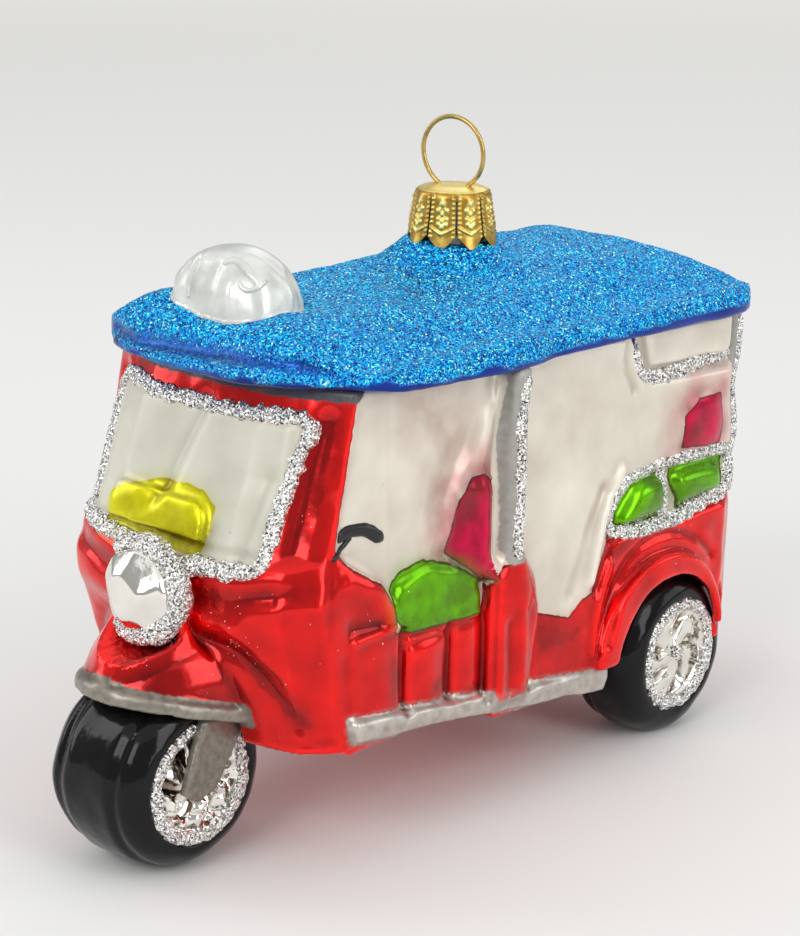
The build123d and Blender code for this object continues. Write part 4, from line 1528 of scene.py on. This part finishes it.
@dataclass
class Headlight:
    """The mirrored lamp, a dome of one flat and eight slanting facets.

    Attributes:
        centre: Its middle, at its foot.
        radius: Its radius.
        bulge: How far its flat stands out.
        flat: How far out its flat lies, and its slopes across and up.
        facets: How many slanting facets it has.
        facet_turn: How far the first is turned round, in radians.
        facet_out: How far out they lie, and how unevenly.
        facet_slant: How steep they are, and how unevenly.
        edge: How steeply it ends at its foot.
        sharp: How sharp the edges between its facets are.
        rings: How many rings of points it has.
        turns: How many points each has.
        ring_radius: Radius of the glitter band's middle line.
        ring_width: Half the glitter band's width.
        ring_y: Where the glitter band lies along the ornament.
        ring_dip: How much further forward it lies at its foot.
        ring_span: Angles between which it runs.
        ring_steps: How many steps it has along and around.
    """

    centre: tuple[float, float, float] = (0.8, -42.7, 36.2)
    radius: float = 5.6
    bulge: float = 3.0
    flat: tuple[float, float, float] = (0.94, 0.05, -0.04)
    facets: int = 8
    facet_turn: float = 0.3
    facet_out: tuple[float, float] = (1.62, 0.1)
    facet_slant: tuple[float, float] = (1.45, 0.18)
    edge: float = 1.25
    sharp: float = 16.0
    rings: int = 34
    turns: int = 120
    ring_radius: float = 6.2
    ring_width: float = 1.25
    ring_y: float = -41.5
    ring_dip: float = 0.9
    ring_span: tuple[float, float] = (140.0, -136.0)
    ring_steps: tuple[int, int] = (130, 44)

    def build(self) -> None:
        """Makes the dome as the softened lowest of its slanting planes."""
        share = np.linspace(0.004, 1, self.rings)[:, None]
        u, v = share * np.cos(circle(self.turns)), share * np.sin(circle(self.turns))
        planes = [self.flat[0] + self.flat[1] * u + self.flat[2] * v]
        for index in range(self.facets):
            angle = index * 2 * math.pi / self.facets + self.facet_turn
            out = self.facet_out[0] + self.facet_out[1] * math.cos(2.3 * index)
            slant = self.facet_slant[0] + self.facet_slant[1] * math.sin(3.1 * index)
            planes.append(out - slant * (u * math.cos(angle) + v * math.sin(angle)))
        height = -np.log(sum(np.exp(-self.sharp * plane) for plane in planes)) / self.sharp
        height = np.minimum(height, self.edge * np.sqrt(1 - share**2))
        points = np.stack([self.radius * u, -self.bulge * height, self.radius * v], 2).reshape(-1, 3) + self.centre
        points = np.concatenate([points, points[-self.turns :] + (0.0, 1.6, 0.0)])
        points[:, 1] += lumps(points, (0.12, 2.0, 61))
        faces = tube(self.rings + 1, self.turns)
        piece = make_object("headlight_lens_glass", points, faces, MIRROR.alone())
        set_piece(piece, "ornament", "mirror_silver", "headlight_lens")

    def build_ring(self, body: BVHTree, glitter: bpy.types.Material) -> None:
        """Makes the rough band of glitter that runs round the lamp and stays open at one side.

        Args:
            body: The body's surface, which it lies on.
            glitter: Its finish.
        """
        first, last = (math.radians(angle) for angle in self.ring_span)
        steps, around = self.ring_steps
        sweep = np.linspace(first, last, steps)
        ring = self.ring_radius * np.stack([np.cos(sweep), np.sin(sweep)], 1)
        middle = ring + (self.centre[0], self.centre[2])
        foot = np.clip(-np.sin(sweep), 0, 1)
        skin = np.min([FRONT.cast(body, middle + shift, 1)[0][:, 1] for shift in (-0.5, 0.0, 0.5)], axis=0)
        skin = np.convolve(np.pad(skin, 8, mode="edge"), np.full(17, 1 / 17), mode="valid")
        ahead = np.minimum(self.ring_y - self.ring_dip * foot, skin - 0.1)
        ends = np.minimum(sweep - last, first - sweep) * self.ring_radius
        ragged = 1 + lumps(np.column_stack([ring, 0 * sweep]), (0.16, 1.1, 65))
        thick = self.ring_width * (1 + 0.32 * foot) * np.sqrt(ramp(ends + 0.06, self.ring_width)) * ragged
        thick = thick[:, None] + np.random.default_rng(66).uniform(-1, 1, (steps, around)) * 0.1
        out = (self.ring_radius * (1 - 0.19 * foot))[:, None] + thick * np.cos(circle(around))
        x = self.centre[0] + out * np.cos(sweep)[:, None]
        y = ahead[:, None] + 1.25 * thick * np.sin(circle(around))
        z = self.centre[2] + out * np.sin(sweep)[:, None]
        points = np.stack([x, y, z], 2).reshape(-1, 3)
        grit = np.ones(len(points))
        piece = make_object("headlight_glitter", points, tube(steps, around), glitter, smooth=False, grit=grit)
        set_piece(piece, "ornament", "silver_glitter")


@dataclass(frozen=True)
class Rim:
    """A mirrored wheel rim with swirling spokes, moulded in the glass.

    Attributes:
        name: The pair's name.
        face_x: Where the tyre's face lies, off the middle.
        axle_y: Where its axle lies along the ornament.
        spokes: How many spokes it has.
        swirl: How far the spokes lean round.
        melt: How far the glass is melted out of shape.
        seed: How it is melted.
        solid: How much of the rim its spokes fill, from -1 to 1.
        ridge: How far its spokes stand out.
        hub: How far its hub does.
        lip: How far its lip does.
        sunk: How far it lies inside the tyre's face.
        back: How far inside that face its back lies.
        axle_z: Height of its axle.
        radius: Its radius.
        rings: How many rings of points it has.
        turns: How many points each has.
    """

    name: str
    face_x: float
    axle_y: float
    spokes: int
    swirl: float
    melt: float
    seed: int
    solid: float = 0.15
    ridge: float = 0.3
    hub: float = 0.6
    lip: float = 0.7
    sunk: float = 1.1
    back: float = 2.0
    axle_z: float = 12.2
    radius: float = 8.0
    rings: int = 40
    turns: int = 180

    def build(self, sign: int, material: bpy.types.Material) -> Form:
        """Makes one rim of the pair.

        Args:
            sign: 1 for the left one, -1 for the right one.
            material: The mirror finish; it reads "pit", how deep between the spokes a point lies.

        Returns:
            Its points and faces.
        """
        turn = circle(self.turns)
        share = np.linspace(0.01, 1, self.rings)[:, None]
        wave = np.cos(self.spokes * (turn + self.swirl * share) + 0.6 * np.sin(2 * turn + self.seed))
        middle, outer = bell(share - 0.5, 0.2), ramp(share - 0.8, 0.08)
        pit = ramp(-wave - self.solid, 0.5) * middle
        height = (self.ridge * wave * middle - pit + self.hub * bell(share, 0.2) + self.lip * outer).ravel()
        y = (self.axle_y + self.radius * share * np.cos(turn)).ravel()
        z = (self.axle_z + self.radius * share * np.sin(turn)).ravel()
        waves = (self.melt, 1.5, self.seed), (0.5 * self.melt, 0.7, self.seed + 1)
        bumps = lumps(np.stack([0 * y, y, z], 1), *waves) * (1 - 0.7 * np.repeat(outer, self.turns))
        points = np.stack([self.face_x - self.sunk + height + bumps, y, z], 1)
        last = points[-self.turns :].copy()
        last[:, 0] = self.face_x - self.back
        points = np.concatenate([points, last])
        points[:, 0] *= sign
        faces = tube(self.rings + 1, self.turns)
        node = both(self.name)[sign < 0]
        pits = np.concatenate([pit.ravel(), np.zeros(self.turns)])
        piece = make_object(node + "_glass", points, faces, material, pit=pits)
        set_piece(piece, "ornament", "mirror_silver", node)
        return points, faces

    def trees(self, mirror: bpy.types.Material) -> tuple[BVHTree, BVHTree]:
        """Makes both rims of the pair.

        Args:
            mirror: Their finish.

        Returns:
            For each side, the rim in the tyre's flat face, for what lies on them.
        """
        made = []
        for sign in (1, -1):
            points, faces = self.build(sign, mirror)
            corners = np.array([[0, -30, -30], [0, 30, -30], [0, 30, 30], [0, -30, 30]], float)
            wall = corners + (sign * (self.face_x - 0.1), self.axle_y, self.axle_z)
            face = [len(points) + k for k in range(4)]
            made.append(BVHTree.FromPolygons([*points.tolist(), *wall.tolist()], [*faces, face]))
        return tuple(made)

    def ring(self, radius: float, angles: Iterable[float]) -> Outline:
        """Returns points round the axle, at given angles."""
        return tuple((self.axle_y + radius * math.cos(k), self.axle_z + radius * math.sin(k)) for k in angles)


@dataclass
class Wheels:
    """The three wheels with their rims, glitter rings and the front fork.

    Attributes:
        front: The front wheel's rims.
        rear: The rear wheels' rims.
        tyres: Each tyre with the places of its grooves.
        voxel: The step of the tyres' grid, in millimetres.
        groove: Depth and half width of a tyre's groove.
        fork_voxel: The step of the fork's grid.
        ring_radius: Radius of the glitter rings.
        fork_mid: Height and place along of a fork leg's middle, at its top and low down.
        fork_widen: How much broader the legs are than the solids.
        fork_shift: How far they are moved along.
    """

    front: Rim = Rim("front_rim", 8.3, -39.4, 6, 0.9, 0.55, 71)
    rear: Rim = Rim("rear_rim", 23.4, 40.8, 5, 0.9, 0.12, 75, 0.5)
    tyres: tuple[tuple[str, tuple[float, ...]], ...] = (
        ("front_tyre", (-4.6, 5.2)), ("rear_tyre_left", (14.6,)), ("rear_tyre_right", (-14.6,)),
    )
    voxel: float = 0.4
    groove: tuple[float, float] = (0.45, 0.8)
    fork_voxel: float = 0.25
    ring_radius: float = 7.45
    fork_mid: tuple[tuple[float, float], ...] = ((20.8, -39.2), (12.0, -40.6))
    fork_widen: float = 1.35
    fork_shift: float = -1.3

    def build_tyre(self, name: str, grooves: tuple[float, ...], material: bpy.types.Material) -> None:
        """Makes a tyre, wavy as blown glass, with grooves round it.

        Args:
            name: The tyre's solid.
            grooves: Where its grooves lie across.
            material: Its finish.
        """
        points, normals, faces = melted(name, self.voxel, 3)
        tread = 1 - ramp(np.abs(normals[:, 0]) - 0.3, 0.4)
        lift = lumps(points, (0.30, 6.0, 31), (0.10, 2.5, 32))
        depth, width = self.groove
        lift -= sum(depth * tread * bell(points[:, 0] - place, width) for place in grooves)
        points = points + normals * lift[:, None]
        points[:, 2] = np.maximum(points[:, 2], 0.0)
        set_piece(make_object(name + "_glass", points, faces, material), "ornament", "tyre_black", name)

    def build_fork(self, name: str, material: bpy.types.Material) -> None:
        """Makes a fork leg, broad where it leaves the mudguard.

        Args:
            name: The leg's solid.
            material: Its finish.
        """
        points, normals, faces = melted(name, self.fork_voxel, 14)
        (top_z, top_y), (low_z, low_y) = self.fork_mid
        share = np.clip((points[:, 2] - low_z) / (top_z - low_z), -0.3, 1.2)
        middle = low_y + (top_y - low_y) * share
        points[:, 1] = middle + self.fork_shift + (points[:, 1] - middle) * (self.fork_widen + 0.2 * share)
        points += normals * lumps(points, (0.12, 2.5, 33))[:, None]
        set_piece(make_object(name + "_glass", points, faces, material), "ornament", "silver_paint", name)

    def build(self, glitter: bpy.types.Material) -> None:
        """Makes the wheels.

        Args:
            glitter: The finish of the rings.
        """
        tyre, mirror, silver = TYRE.alone(), rim_finish(), SILVER.alone()
        for name, grooves in self.tyres:
            self.build_tyre(name, grooves, tyre)
        for name in both("fork"):
            self.build_fork(name, silver)
        for rim in (self.front, self.rear):
            trees = rim.trees(mirror)
            ring = rim.ring(self.ring_radius, circle(24).tolist())
            bead = Bead(rim.name + "_ring", SIDE, 0.95, 0.45, ring, closed=True, ragged=0.4)
            bead.lay(trees, glitter, "silver_glitter", rim.seed)
        hub = Bead("rear_hub_glitter", SIDE, 0.85, 0.4, self.rear.ring(0.7, (0.0, 2.1, 4.2)), closed=True)
        hub.lay(trees, glitter, "silver_glitter", 79)


def rim_finish() -> bpy.types.Material:
    """Makes the rims' mirror finish, with brown in the deep places between the spokes: partly stains, partly painted
    shade and dark reflections.

    Returns:
        The finish.
    """
    kit = Kit("rim_mirror")
    pit = (kit.value("pit") * 1.6 - kit.noise(0.8) * 0.5).clamped()
    return kit.dress(
        Base_Color=kit.mix(pit, MIRROR.colour(kit), (0.16, 0.09, 0.03)),
        Metallic=1.0,
        Roughness=kit.blend(pit, 0.08, 0.3),
        Normal=kit.bump(0.9, 0.06),
    )


# ---------------------------------------------------------------- glitter lines


@dataclass
class GlitterLines:
    """The raised lines of silver glitter on the body, each with its seed and the solids it stands for.

    Attributes:
        lines: The lines.
    """

    lines: tuple[tuple[int, Bead, tuple[str, ...]], ...] = (
        (
            101,
            Bead(
                "windscreen_trim_glitter", FRONT, 1.05, 0.65,
                line(-18, 58.9, -12, 58.6, -5, 58.2, 2.5, 58.1, 9.5, 58.4, 15.4, 58.7, 16.6, 57.8, 16, 54.2,
                     15.5, 50.3, 15.2, 46, 15.2, 42.2, 14.2, 40.4, 11.4, 39.9, 6.6, 39.9, 1.6, 40.2, -3.4, 40.2,
                     -8.6, 40.4, -13.4, 40.8, -17.9, 41.2, -18.6, 43, -18.5, 50),
                closed=True,
            ),
            ("windscreen_trim",),
        ),
        (
            111,
            Bead(
                "rear_trim_glitter", REAR, 1.0, 0.7,
                line(-14.6, 42.8, -13.4, 41.6, -5, 41.6, 5, 41.6, 13.4, 41.6, 14.6, 42.8, 14.6, 48.5, 14.6, 54.2,
                     13.4, 55.4, 5, 55.4, -5, 55.4, -13.4, 55.4, -14.6, 54.2, -14.6, 48.5),
                closed=True,
            ),
            ("rear_trim",),
        ),
        (
            121,
            Bead(
                "window_trim_glitter", SIDE, 1.05, 0.7,
                line(23.4, 34.3, 22.8, 37.2, 24, 39.6, 27, 41.2, 31, 41.7, 36, 41.9, 41, 41.9, 46, 41.6, 50.6, 41.2,
                     51.2, 38, 51.4, 34.6, 46, 34.4, 41.5, 33.7, 37.6, 32.9, 31.6, 33, 27.4, 33.5),
                closed=True,
            ),
            both("window_trim"),
        ),
        (122, Bead("window_divider_glitter", SIDE, 1.0, 0.7, line(34.9, 41.4, 35.8, 38, 36, 35.6, 36.8, 33.3)), ()),
        (
            123,
            Bead(
                "upper_trim_glitter", SIDE, 1.0, 0.7,
                line(27.8, 60.6, 27.2, 58, 28.6, 55.8, 31.4, 54.5, 36, 54.6, 42.6, 54.9, 50.6, 55.2),
            ),
            both("upper_trim"),
        ),
        (
            124,
            Bead(
                "pillar_glitter", SIDE, 0.95, 0.5,
                line(1.6, 60.4, 1.4, 56, 1.1, 52, 1.4, 47, 1.5, 42.5, 1.3, 38, 1.3, 35.9),
            ),
            (),
        ),
        (
            125,
            Bead(
                "rear_edge_glitter", SIDE, 0.85, 0.6,
                line(52.6, 60.4, 52.9, 56, 52, 52.2, 51.4, 49.6, 51.5, 45.8, 52.2, 41.5, 51.8, 38, 52.2, 34.2),
            ),
            (),
        ),
    )

    def build(self, body: BVHTree, glitter: bpy.types.Material) -> None:
        """Lays every line on the body.

        Args:
            body: The body's surface.
            glitter: The lines' finish.
        """
        for seed, bead, nodes in self.lines:
            trees = (body, body) if bead.view is SIDE else (body,)
            bead.lay(trees, glitter, "silver_glitter", seed, *nodes)


@dataclass
class StrayGlitter:
    """Single flakes that have settled on the lacquer away from the glitter lines.

    Attributes:
        size: A flake's size.
        patches: Where they gather: view, middle, spread, and how many.
    """

    size: float = 0.09
    patches: tuple[tuple[View, tuple[float, float], float, int], ...] = (
        (FRONT, (13.0, 31.0), 4.0, 36),
        (FRONT, (18.5, 46.0), 5.0, 18),
        (FRONT, (4.0, 27.0), 5.0, 24),
        (SIDE, (-23.0, 32.0), 2.5, 9),
        (SIDE, (40.0, 30.0), 7.0, 12),
    )

    def build(self, body: BVHTree, glitter: bpy.types.Material) -> None:
        """Scatters the flakes as small closed crystals, half sunk in the lacquer.

        Args:
            body: The body's surface.
            glitter: The flakes' finish.
        """
        rng = np.random.default_rng(131)
        places = []
        for view, middle, spread, count in self.patches:
            for sign in (1, -1) if view is SIDE else (1,):
                places.append(view.cast(body, rng.normal(middle, spread, (count, 2)), sign)[0])
        middles = np.concatenate(places)
        corners = np.concatenate([np.eye(3), -np.eye(3)])[[0, 3, 1, 4, 2, 5]]
        sides = [(0, 2, 4), (2, 1, 4), (1, 3, 4), (3, 0, 4), (2, 0, 5), (1, 2, 5), (3, 1, 5), (0, 3, 5)]
        sizes = rng.uniform(0.6, 1.3, (len(middles), 1, 1)) * self.size
        points = (middles[:, None] + corners * sizes).reshape(-1, 3)
        faces = [[6 * k + c for c in side] for k in range(len(middles)) for side in sides]
        grit = np.ones(len(points))
        piece = make_object("stray_glitter", points, faces, glitter, smooth=False, grit=grit)
        set_piece(piece, "ornament", "silver_glitter")


# ---------------------------------------------------------------- cap and ring


@dataclass
class CrownCap:
    """The gold crown cap with its embossed, pointed tabs.

    Attributes:
        axis: Where its middle lies across and along.
        tabs: How many tabs it has.
        low_z: Height of a tab's side above its point.
        point: How far a tab's point hangs below its sides.
        slit_z: Where the slits between the tabs end.
        top_z: Height of the top.
        skirt_z: Height of the crown's foot, behind the tabs.
        inset: How far the crown lies inside the tabs.
        low_radius: Radius at the tabs' feet.
        radius: Radius at the shoulder.
        corner: Radius of the shoulder.
        wall: Thickness of the metal.
        across: How many points a tab has from side to side.
        rows: How many it has from its foot up.
        turns: How many points the crown has round.
        bumps: The embossed bumps of a tab: place across, height and radius.
    """

    axis: tuple[float, float] = (0.0, 15.4)
    tabs: int = 9
    low_z: float = 74.1
    point: float = 2.2
    slit_z: float = 79.6
    top_z: float = 79.98
    skirt_z: float = 78.3
    inset: float = 0.14
    low_radius: float = 5.95
    radius: float = 5.15
    corner: float = 1.0
    wall: float = 0.22
    across: int = 30
    rows: int = 44
    turns: int = 180
    bumps: tuple[tuple[float, float, float], ...] = (
        (0.0, 78.4, 0.42), (-0.5, 77.5, 0.3), (0.5, 77.5, 0.3), (0.0, 77.0, 0.24), (-0.5, 76.4, 0.24),
        (0.5, 76.4, 0.24), (-0.45, 75.7, 0.24), (0.45, 75.7, 0.24), (0.0, 75.3, 0.3), (0.0, 76.1, 0.26),
    )

    def embossing(self, share: np.ndarray, z: np.ndarray) -> np.ndarray:
        """Works out a tab's relief.

        Args:
            share: Place across the tab, from -1 to 1.
            z: Height.

        Returns:
            How far the metal stands out, in millimetres.
        """
        off = np.abs(share)
        border = bell(off - 0.84, 0.12) * (0.5 + 0.5 * np.cos((z - 74) * 2 * math.pi / 0.62))
        centre = sum(bell(np.hypot(share * 1.9 - u, z - v), size) for u, v, size in self.bumps)
        return 0.20 * border + 0.30 * centre + 0.18 * bell(z - 74.35 - off, 0.16) * (off < 0.78)

    def flare(self, z: np.ndarray) -> np.ndarray:
        """Returns how far out the tabs lean at a height, from 0 at the slits' ends to 1."""
        return np.clip((self.slit_z - z) / (self.slit_z - self.low_z), 0, 1.4) ** 1.3

    def ring_point(self, angle: np.ndarray, radius: np.ndarray, z: np.ndarray) -> np.ndarray:
        """Turns an angle, a radius and a height into a point."""
        x, y = self.axis
        return np.stack([x + radius * np.sin(angle), y - radius * np.cos(angle), z + 0 * angle], -1)

    def tab(self, index: int) -> Form:
        """Makes one tab as a closed sheet of metal.

        Args:
            index: Which tab.

        Returns:
            Its points and faces.
        """
        share, climb = np.meshgrid(np.linspace(-0.93, 0.93, self.across), np.linspace(0, 1, self.rows))
        foot = self.low_z - self.point * (1 - np.abs(share)) + 0.15 * math.sin(2.7 * index)
        z = foot + (self.slit_z - foot) * climb
        angle = (index + 0.66 + share / 2) * 2 * math.pi / self.tabs
        over = np.clip(z - self.top_z + self.corner, 0, self.corner)
        radius = self.radius + (self.low_radius - self.radius) * self.flare(z)
        radius = radius - 0.10 * share**2 - self.corner + np.sqrt(self.corner**2 - over**2)
        front = self.ring_point(angle, radius + self.embossing(share, z), z)
        back = self.ring_point(angle, radius - self.wall, z)
        n, half = self.across, self.across * self.rows
        faces = []
        for a in (r * n + c for r in range(self.rows - 1) for c in range(n - 1)):
            faces += [[a, a + 1, a + n + 1, a + n], [half + a, half + a + n, half + a + n + 1, half + a + 1]]
        edge = [*range(n), *range(2 * n - 1, half, n), *range(half - 2, half - n - 1, -1), *range(half - 2 * n, 0, -n)]
        faces += [[b, a, half + a, half + b] for a, b in zip(edge, edge[1:] + edge[:1])]
        return np.concatenate([front.reshape(-1, 3), back.reshape(-1, 3)]), faces

    def crown(self) -> Form:
        """Makes the round top with its soft shoulder.

        Returns:
            Its points and faces.
        """
        turn = circle(self.turns)
        profile = [(self.radius - self.wall - self.inset, self.skirt_z), (self.radius - 0.16, self.skirt_z)]
        for bend in np.linspace(0, math.pi / 2, 10):
            radius = self.radius - self.inset - self.corner * (1 - math.cos(bend))
            profile.append((radius, self.top_z - self.corner * (1 - math.sin(bend))))
        profile += [(3.2, self.top_z + 0.16), (1.6, self.top_z + 0.22), (0.02, self.top_z + 0.22)]
        scallop = 0.10 * np.abs(np.sin(self.tabs * (turn / 2 - 0.66 * math.pi / self.tabs)))
        points = np.concatenate([self.ring_point(turn, r + scallop * (r > 4.6), z) for r, z in profile])
        return points + lumps(points, (0.05, 1.2, 91))[:, None], tube(len(profile), self.turns)

    def build(self) -> None:
        """Makes the cap from its crown and tabs."""
        points, faces = self.crown()
        faces = turned_out(points, faces)
        for index in range(self.tabs):
            more, sides = self.tab(index)
            faces += [[corner + len(points) for corner in side] for side in turned_out(more, sides)]
            points = np.concatenate([points, more])
        # Painted light and shade on the gold: the top is painted lighter, and the metal darker the further it lies
        # back from the embossed face.
        off = np.hypot(points[:, 0] - self.axis[0], points[:, 1] - self.axis[1])
        proud = off - self.radius - (self.low_radius - self.radius) * self.flare(points[:, 2])
        hollow = np.where(points[:, 2] > 79.7, -0.6, np.clip(0.9 - 7.0 * proud, -0.8, 1.0))
        piece = make_object("cap_metal", points, faces, GOLD.alone("hollow"), hollow=hollow)
        set_piece(piece, "cap_body", "gold_cap", "cap")


@dataclass
class WireRing:
    """The gold wire ring, whose two legs spring open inside the cap.

    Attributes:
        axis: Where its middle lies across and along.
        centre_z: Height of the ring's middle.
        radius: Its radius.
        stretch: How much taller than wide it is.
        turn: How far it is turned about the upright, in degrees.
        lean: How far it leans, in degrees.
        leg_x: How far off the middle its legs stand.
        leg_low_z: Height of their ends.
        wire: The wire's thickness.
    """

    axis: tuple[float, float] = (0.0, 15.4)
    centre_z: float = 84.5
    radius: float = 4.6
    stretch: float = 1.05
    turn: float = 12.0
    lean: float = 2.0
    leg_x: float = 2.3
    leg_low_z: float = 74.4
    wire: float = 0.64

    def build(self) -> None:
        """Makes the ring as one bent wire of round section."""
        gap = math.asin(self.leg_x / self.radius)
        sweep = np.linspace(-math.pi / 2 + gap, 1.5 * math.pi - gap, 60)
        arc = np.stack([self.radius * np.cos(sweep), self.radius * np.sin(sweep) * self.stretch], 1)
        low = self.leg_low_z - self.centre_z
        right = [(self.leg_x, low), (self.leg_x * 0.94, low + 3.4), (self.leg_x * 0.92, arc[0, 1] - 0.5)]
        flat = np.concatenate([right, arc, [(-x, z) for x, z in right[::-1]]])
        climb = flat[:, 1] - arc[0, 1]
        across = flat[:, 0] - np.tan(math.radians(self.lean) * ramp(climb, self.radius)) * climb
        turn = math.radians(self.turn)
        points = np.stack([across * math.cos(turn), across * math.sin(turn), flat[:, 1]], 1)
        points += (*self.axis, self.centre_z)
        data = bpy.data.curves.new("hanger_ring", "CURVE")
        data.dimensions = "3D"
        data.bevel_depth = self.wire / 2 * MM
        data.bevel_resolution = 5
        data.use_fill_caps = True
        spline = data.splines.new("NURBS")
        spline.points.add(len(points) - 1)
        for knot, point in zip(spline.points, placed(points)):
            knot.co = (*point, 1.0)
        spline.order_u = 3
        spline.use_endpoint_u = True
        spline.resolution_u = 4
        data.materials.append(WIRE_GOLD.alone())
        piece = bpy.data.objects.new("hanger_ring", data)
        bpy.context.scene.collection.objects.link(piece)
        set_piece(piece, "hanger", "gold_wire", "hanger_wire")


# ---------------------------------------------------------------- stage


@dataclass(frozen=True)
class Lamp:
    """A soft rectangular light.

    Attributes:
        name: Its name.
        place: Where it stands, in metres.
        size: Its width and height, in metres.
        power: Its power in watts.
    """

    name: str
    place: tuple[float, float, float]
    size: tuple[float, float]
    power: float

    def build(self, aim: Vector) -> None:
        """Sets the light up, turned to a point.

        Args:
            aim: The point, in metres.
        """
        data = bpy.data.lights.new(self.name, "AREA")
        data.shape = "RECTANGLE"
        data.size, data.size_y = self.size
        data.energy = self.power
        lamp = bpy.data.objects.new(self.name, data)
        lamp.location = self.place
        lamp.rotation_mode = "QUATERNION"
        lamp.rotation_quaternion = (aim - Vector(self.place)).to_track_quat("-Z", "Y")
        bpy.context.scene.collection.objects.link(lamp)


@dataclass
class Studio:
    """The camera, the lights, the world and the floor.

    Attributes:
        camera_place: Where the camera stands, in drawn millimetres.
        azimuth: How far round it looks, in degrees.
        elevation: How far down it looks, in degrees.
        roll: How far it is rolled, in degrees.
        focal_pixels: Its focal length, in pixels.
        long_side: The picture's longer side, in pixels.
        sensor: Its sensor's width, in millimetres.
        floor_radius: The floor's radius, in metres.
        floor: The floor's colour.
        fade: Where the floor starts to run into the wall, and over how far, in metres.
        room: The light that the room gives.
        wall: The wall's colour.
        aim: Where the lamps point, in metres.
        lamps: The lamps.
    """

    camera_place: tuple[float, float, float] = (211.57, -230.65, 133.36)
    azimuth: float = 41.826
    elevation: float = 16.026
    roll: float = 1.139
    focal_pixels: float = 2416.96
    long_side: int = 936
    sensor: float = 36.0
    floor_radius: float = 6.0
    floor: Colour = (0.82, 0.815, 0.802)
    fade: tuple[float, float] = (0.3, 0.9)
    room: Colour = (0.3906, 0.3948, 0.399)
    wall: Colour = (0.76, 0.752, 0.725)
    aim: tuple[float, float, float] = (0.0, 0.0, 0.035)
    lamps: tuple[Lamp, ...] = (
        Lamp("overhead", (0.1, -0.1, 1.3), (2.6, 2.6), 12.0),
        Lamp("key", (0.15, -0.95, 0.6), (0.6, 0.5), 4.0),
        Lamp("side", (1.0, -0.05, 0.5), (0.45, 0.8), 3.8),
        Lamp("left", (-0.9, -0.5, 0.5), (0.4, 0.8), 2.6),
        Lamp("back", (-0.4, 1.0, 0.7), (0.9, 0.4), 1.35),
        Lamp("right", (0.85, 0.85, 0.42), (0.7, 0.5), 1.8),
    )

    def set_camera(self) -> None:
        """Sets the camera up at its measured place and turn."""
        data = bpy.data.cameras.new("camera")
        data.sensor_width = self.sensor
        data.lens = self.focal_pixels * self.sensor / self.long_side
        data.clip_start, data.clip_end = 0.01, 50.0
        a, e, r = (math.radians(v) for v in (self.azimuth, self.elevation, self.roll))
        right = Vector((math.cos(a), math.sin(a), 0))
        up = Vector((-math.sin(a) * math.sin(e), math.cos(a) * math.sin(e), math.cos(e)))
        ahead = Vector((-math.sin(a) * math.cos(e), math.cos(a) * math.cos(e), -math.sin(e)))
        right, up = math.cos(r) * right + math.sin(r) * up, math.cos(r) * up - math.sin(r) * right
        turn = Matrix((right, up, -ahead)).transposed().to_4x4()
        camera = bpy.data.objects.new("camera", data)
        camera.matrix_world = Matrix.Translation(Vector(placed(self.camera_place))) @ turn
        bpy.context.scene.collection.objects.link(camera)
        bpy.context.scene.camera = camera

    def set_world(self) -> None:
        """Gives the room a plain pale light, and a pale wall where only the camera sees it."""
        kit = Kit("room", room=True)
        seen = Wire(kit, kit.node("ShaderNodeLightPath").outputs["Is Camera Ray"])
        bpy.context.scene.world = kit.dress(Color=kit.mix(seen, self.room, self.wall), Strength=1.0)

    def set_floor(self) -> None:
        """Lays a plain pale floor that runs into the wall far off."""
        kit = Kit("floor")
        length = Wire(kit, kit.vector("LENGTH", kit.place()).socket.node.outputs["Value"])
        seen = kit.node("ShaderNodeLightPath").outputs["Is Camera Ray"]
        far = ((length - self.fade[0]) / self.fade[1]).clamped() * seen
        material = kit.dress(Base_Color=self.floor, Roughness=0.7, Specular_IOR_Level=0.12)
        glow = kit.node("ShaderNodeEmission", inputs={"Color": self.wall, "Strength": 1.0})
        both_ways = {0: far, 1: kit.surface.outputs[0], 2: glow.outputs[0]}
        kit.feed(kit.output.inputs["Surface"], kit.node("ShaderNodeMixShader", inputs=both_ways).outputs[0])
        turn = circle(96)
        ring = np.stack([np.cos(turn), np.sin(turn), 0 * turn], 1) * self.floor_radius / MM
        make_object("floor_sheet", ring, [list(range(96))], material, smooth=False, closed=False)

    def build(self) -> None:
        """Sets the whole stage."""
        bpy.context.scene.view_settings.view_transform = "Standard"
        self.set_camera()
        self.set_world()
        self.set_floor()
        for lamp in self.lamps:
            lamp.build(Vector(self.aim))


def main() -> None:
    """Builds the ornament and its stage in order."""
    logging.basicConfig(level=logging.INFO, format="%(message)s")
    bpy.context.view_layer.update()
    Studio().build()
    body = GlassBody().build()
    RoofSign().build(Roof().build())
    glitter = SILVER_GLITTER.alone()
    lamp = Headlight()
    lamp.build()
    lamp.build_ring(body, glitter)
    Wheels().build(glitter)
    GlitterLines().build(body, glitter)
    StrayGlitter().build(body, glitter)
    build_grips(body)
    CrownCap().build()
    WireRing().build()
    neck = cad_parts["neck"].data.materials
    neck.clear()
    neck.append(NECK.alone())


if __name__ == "__main__":
    main()
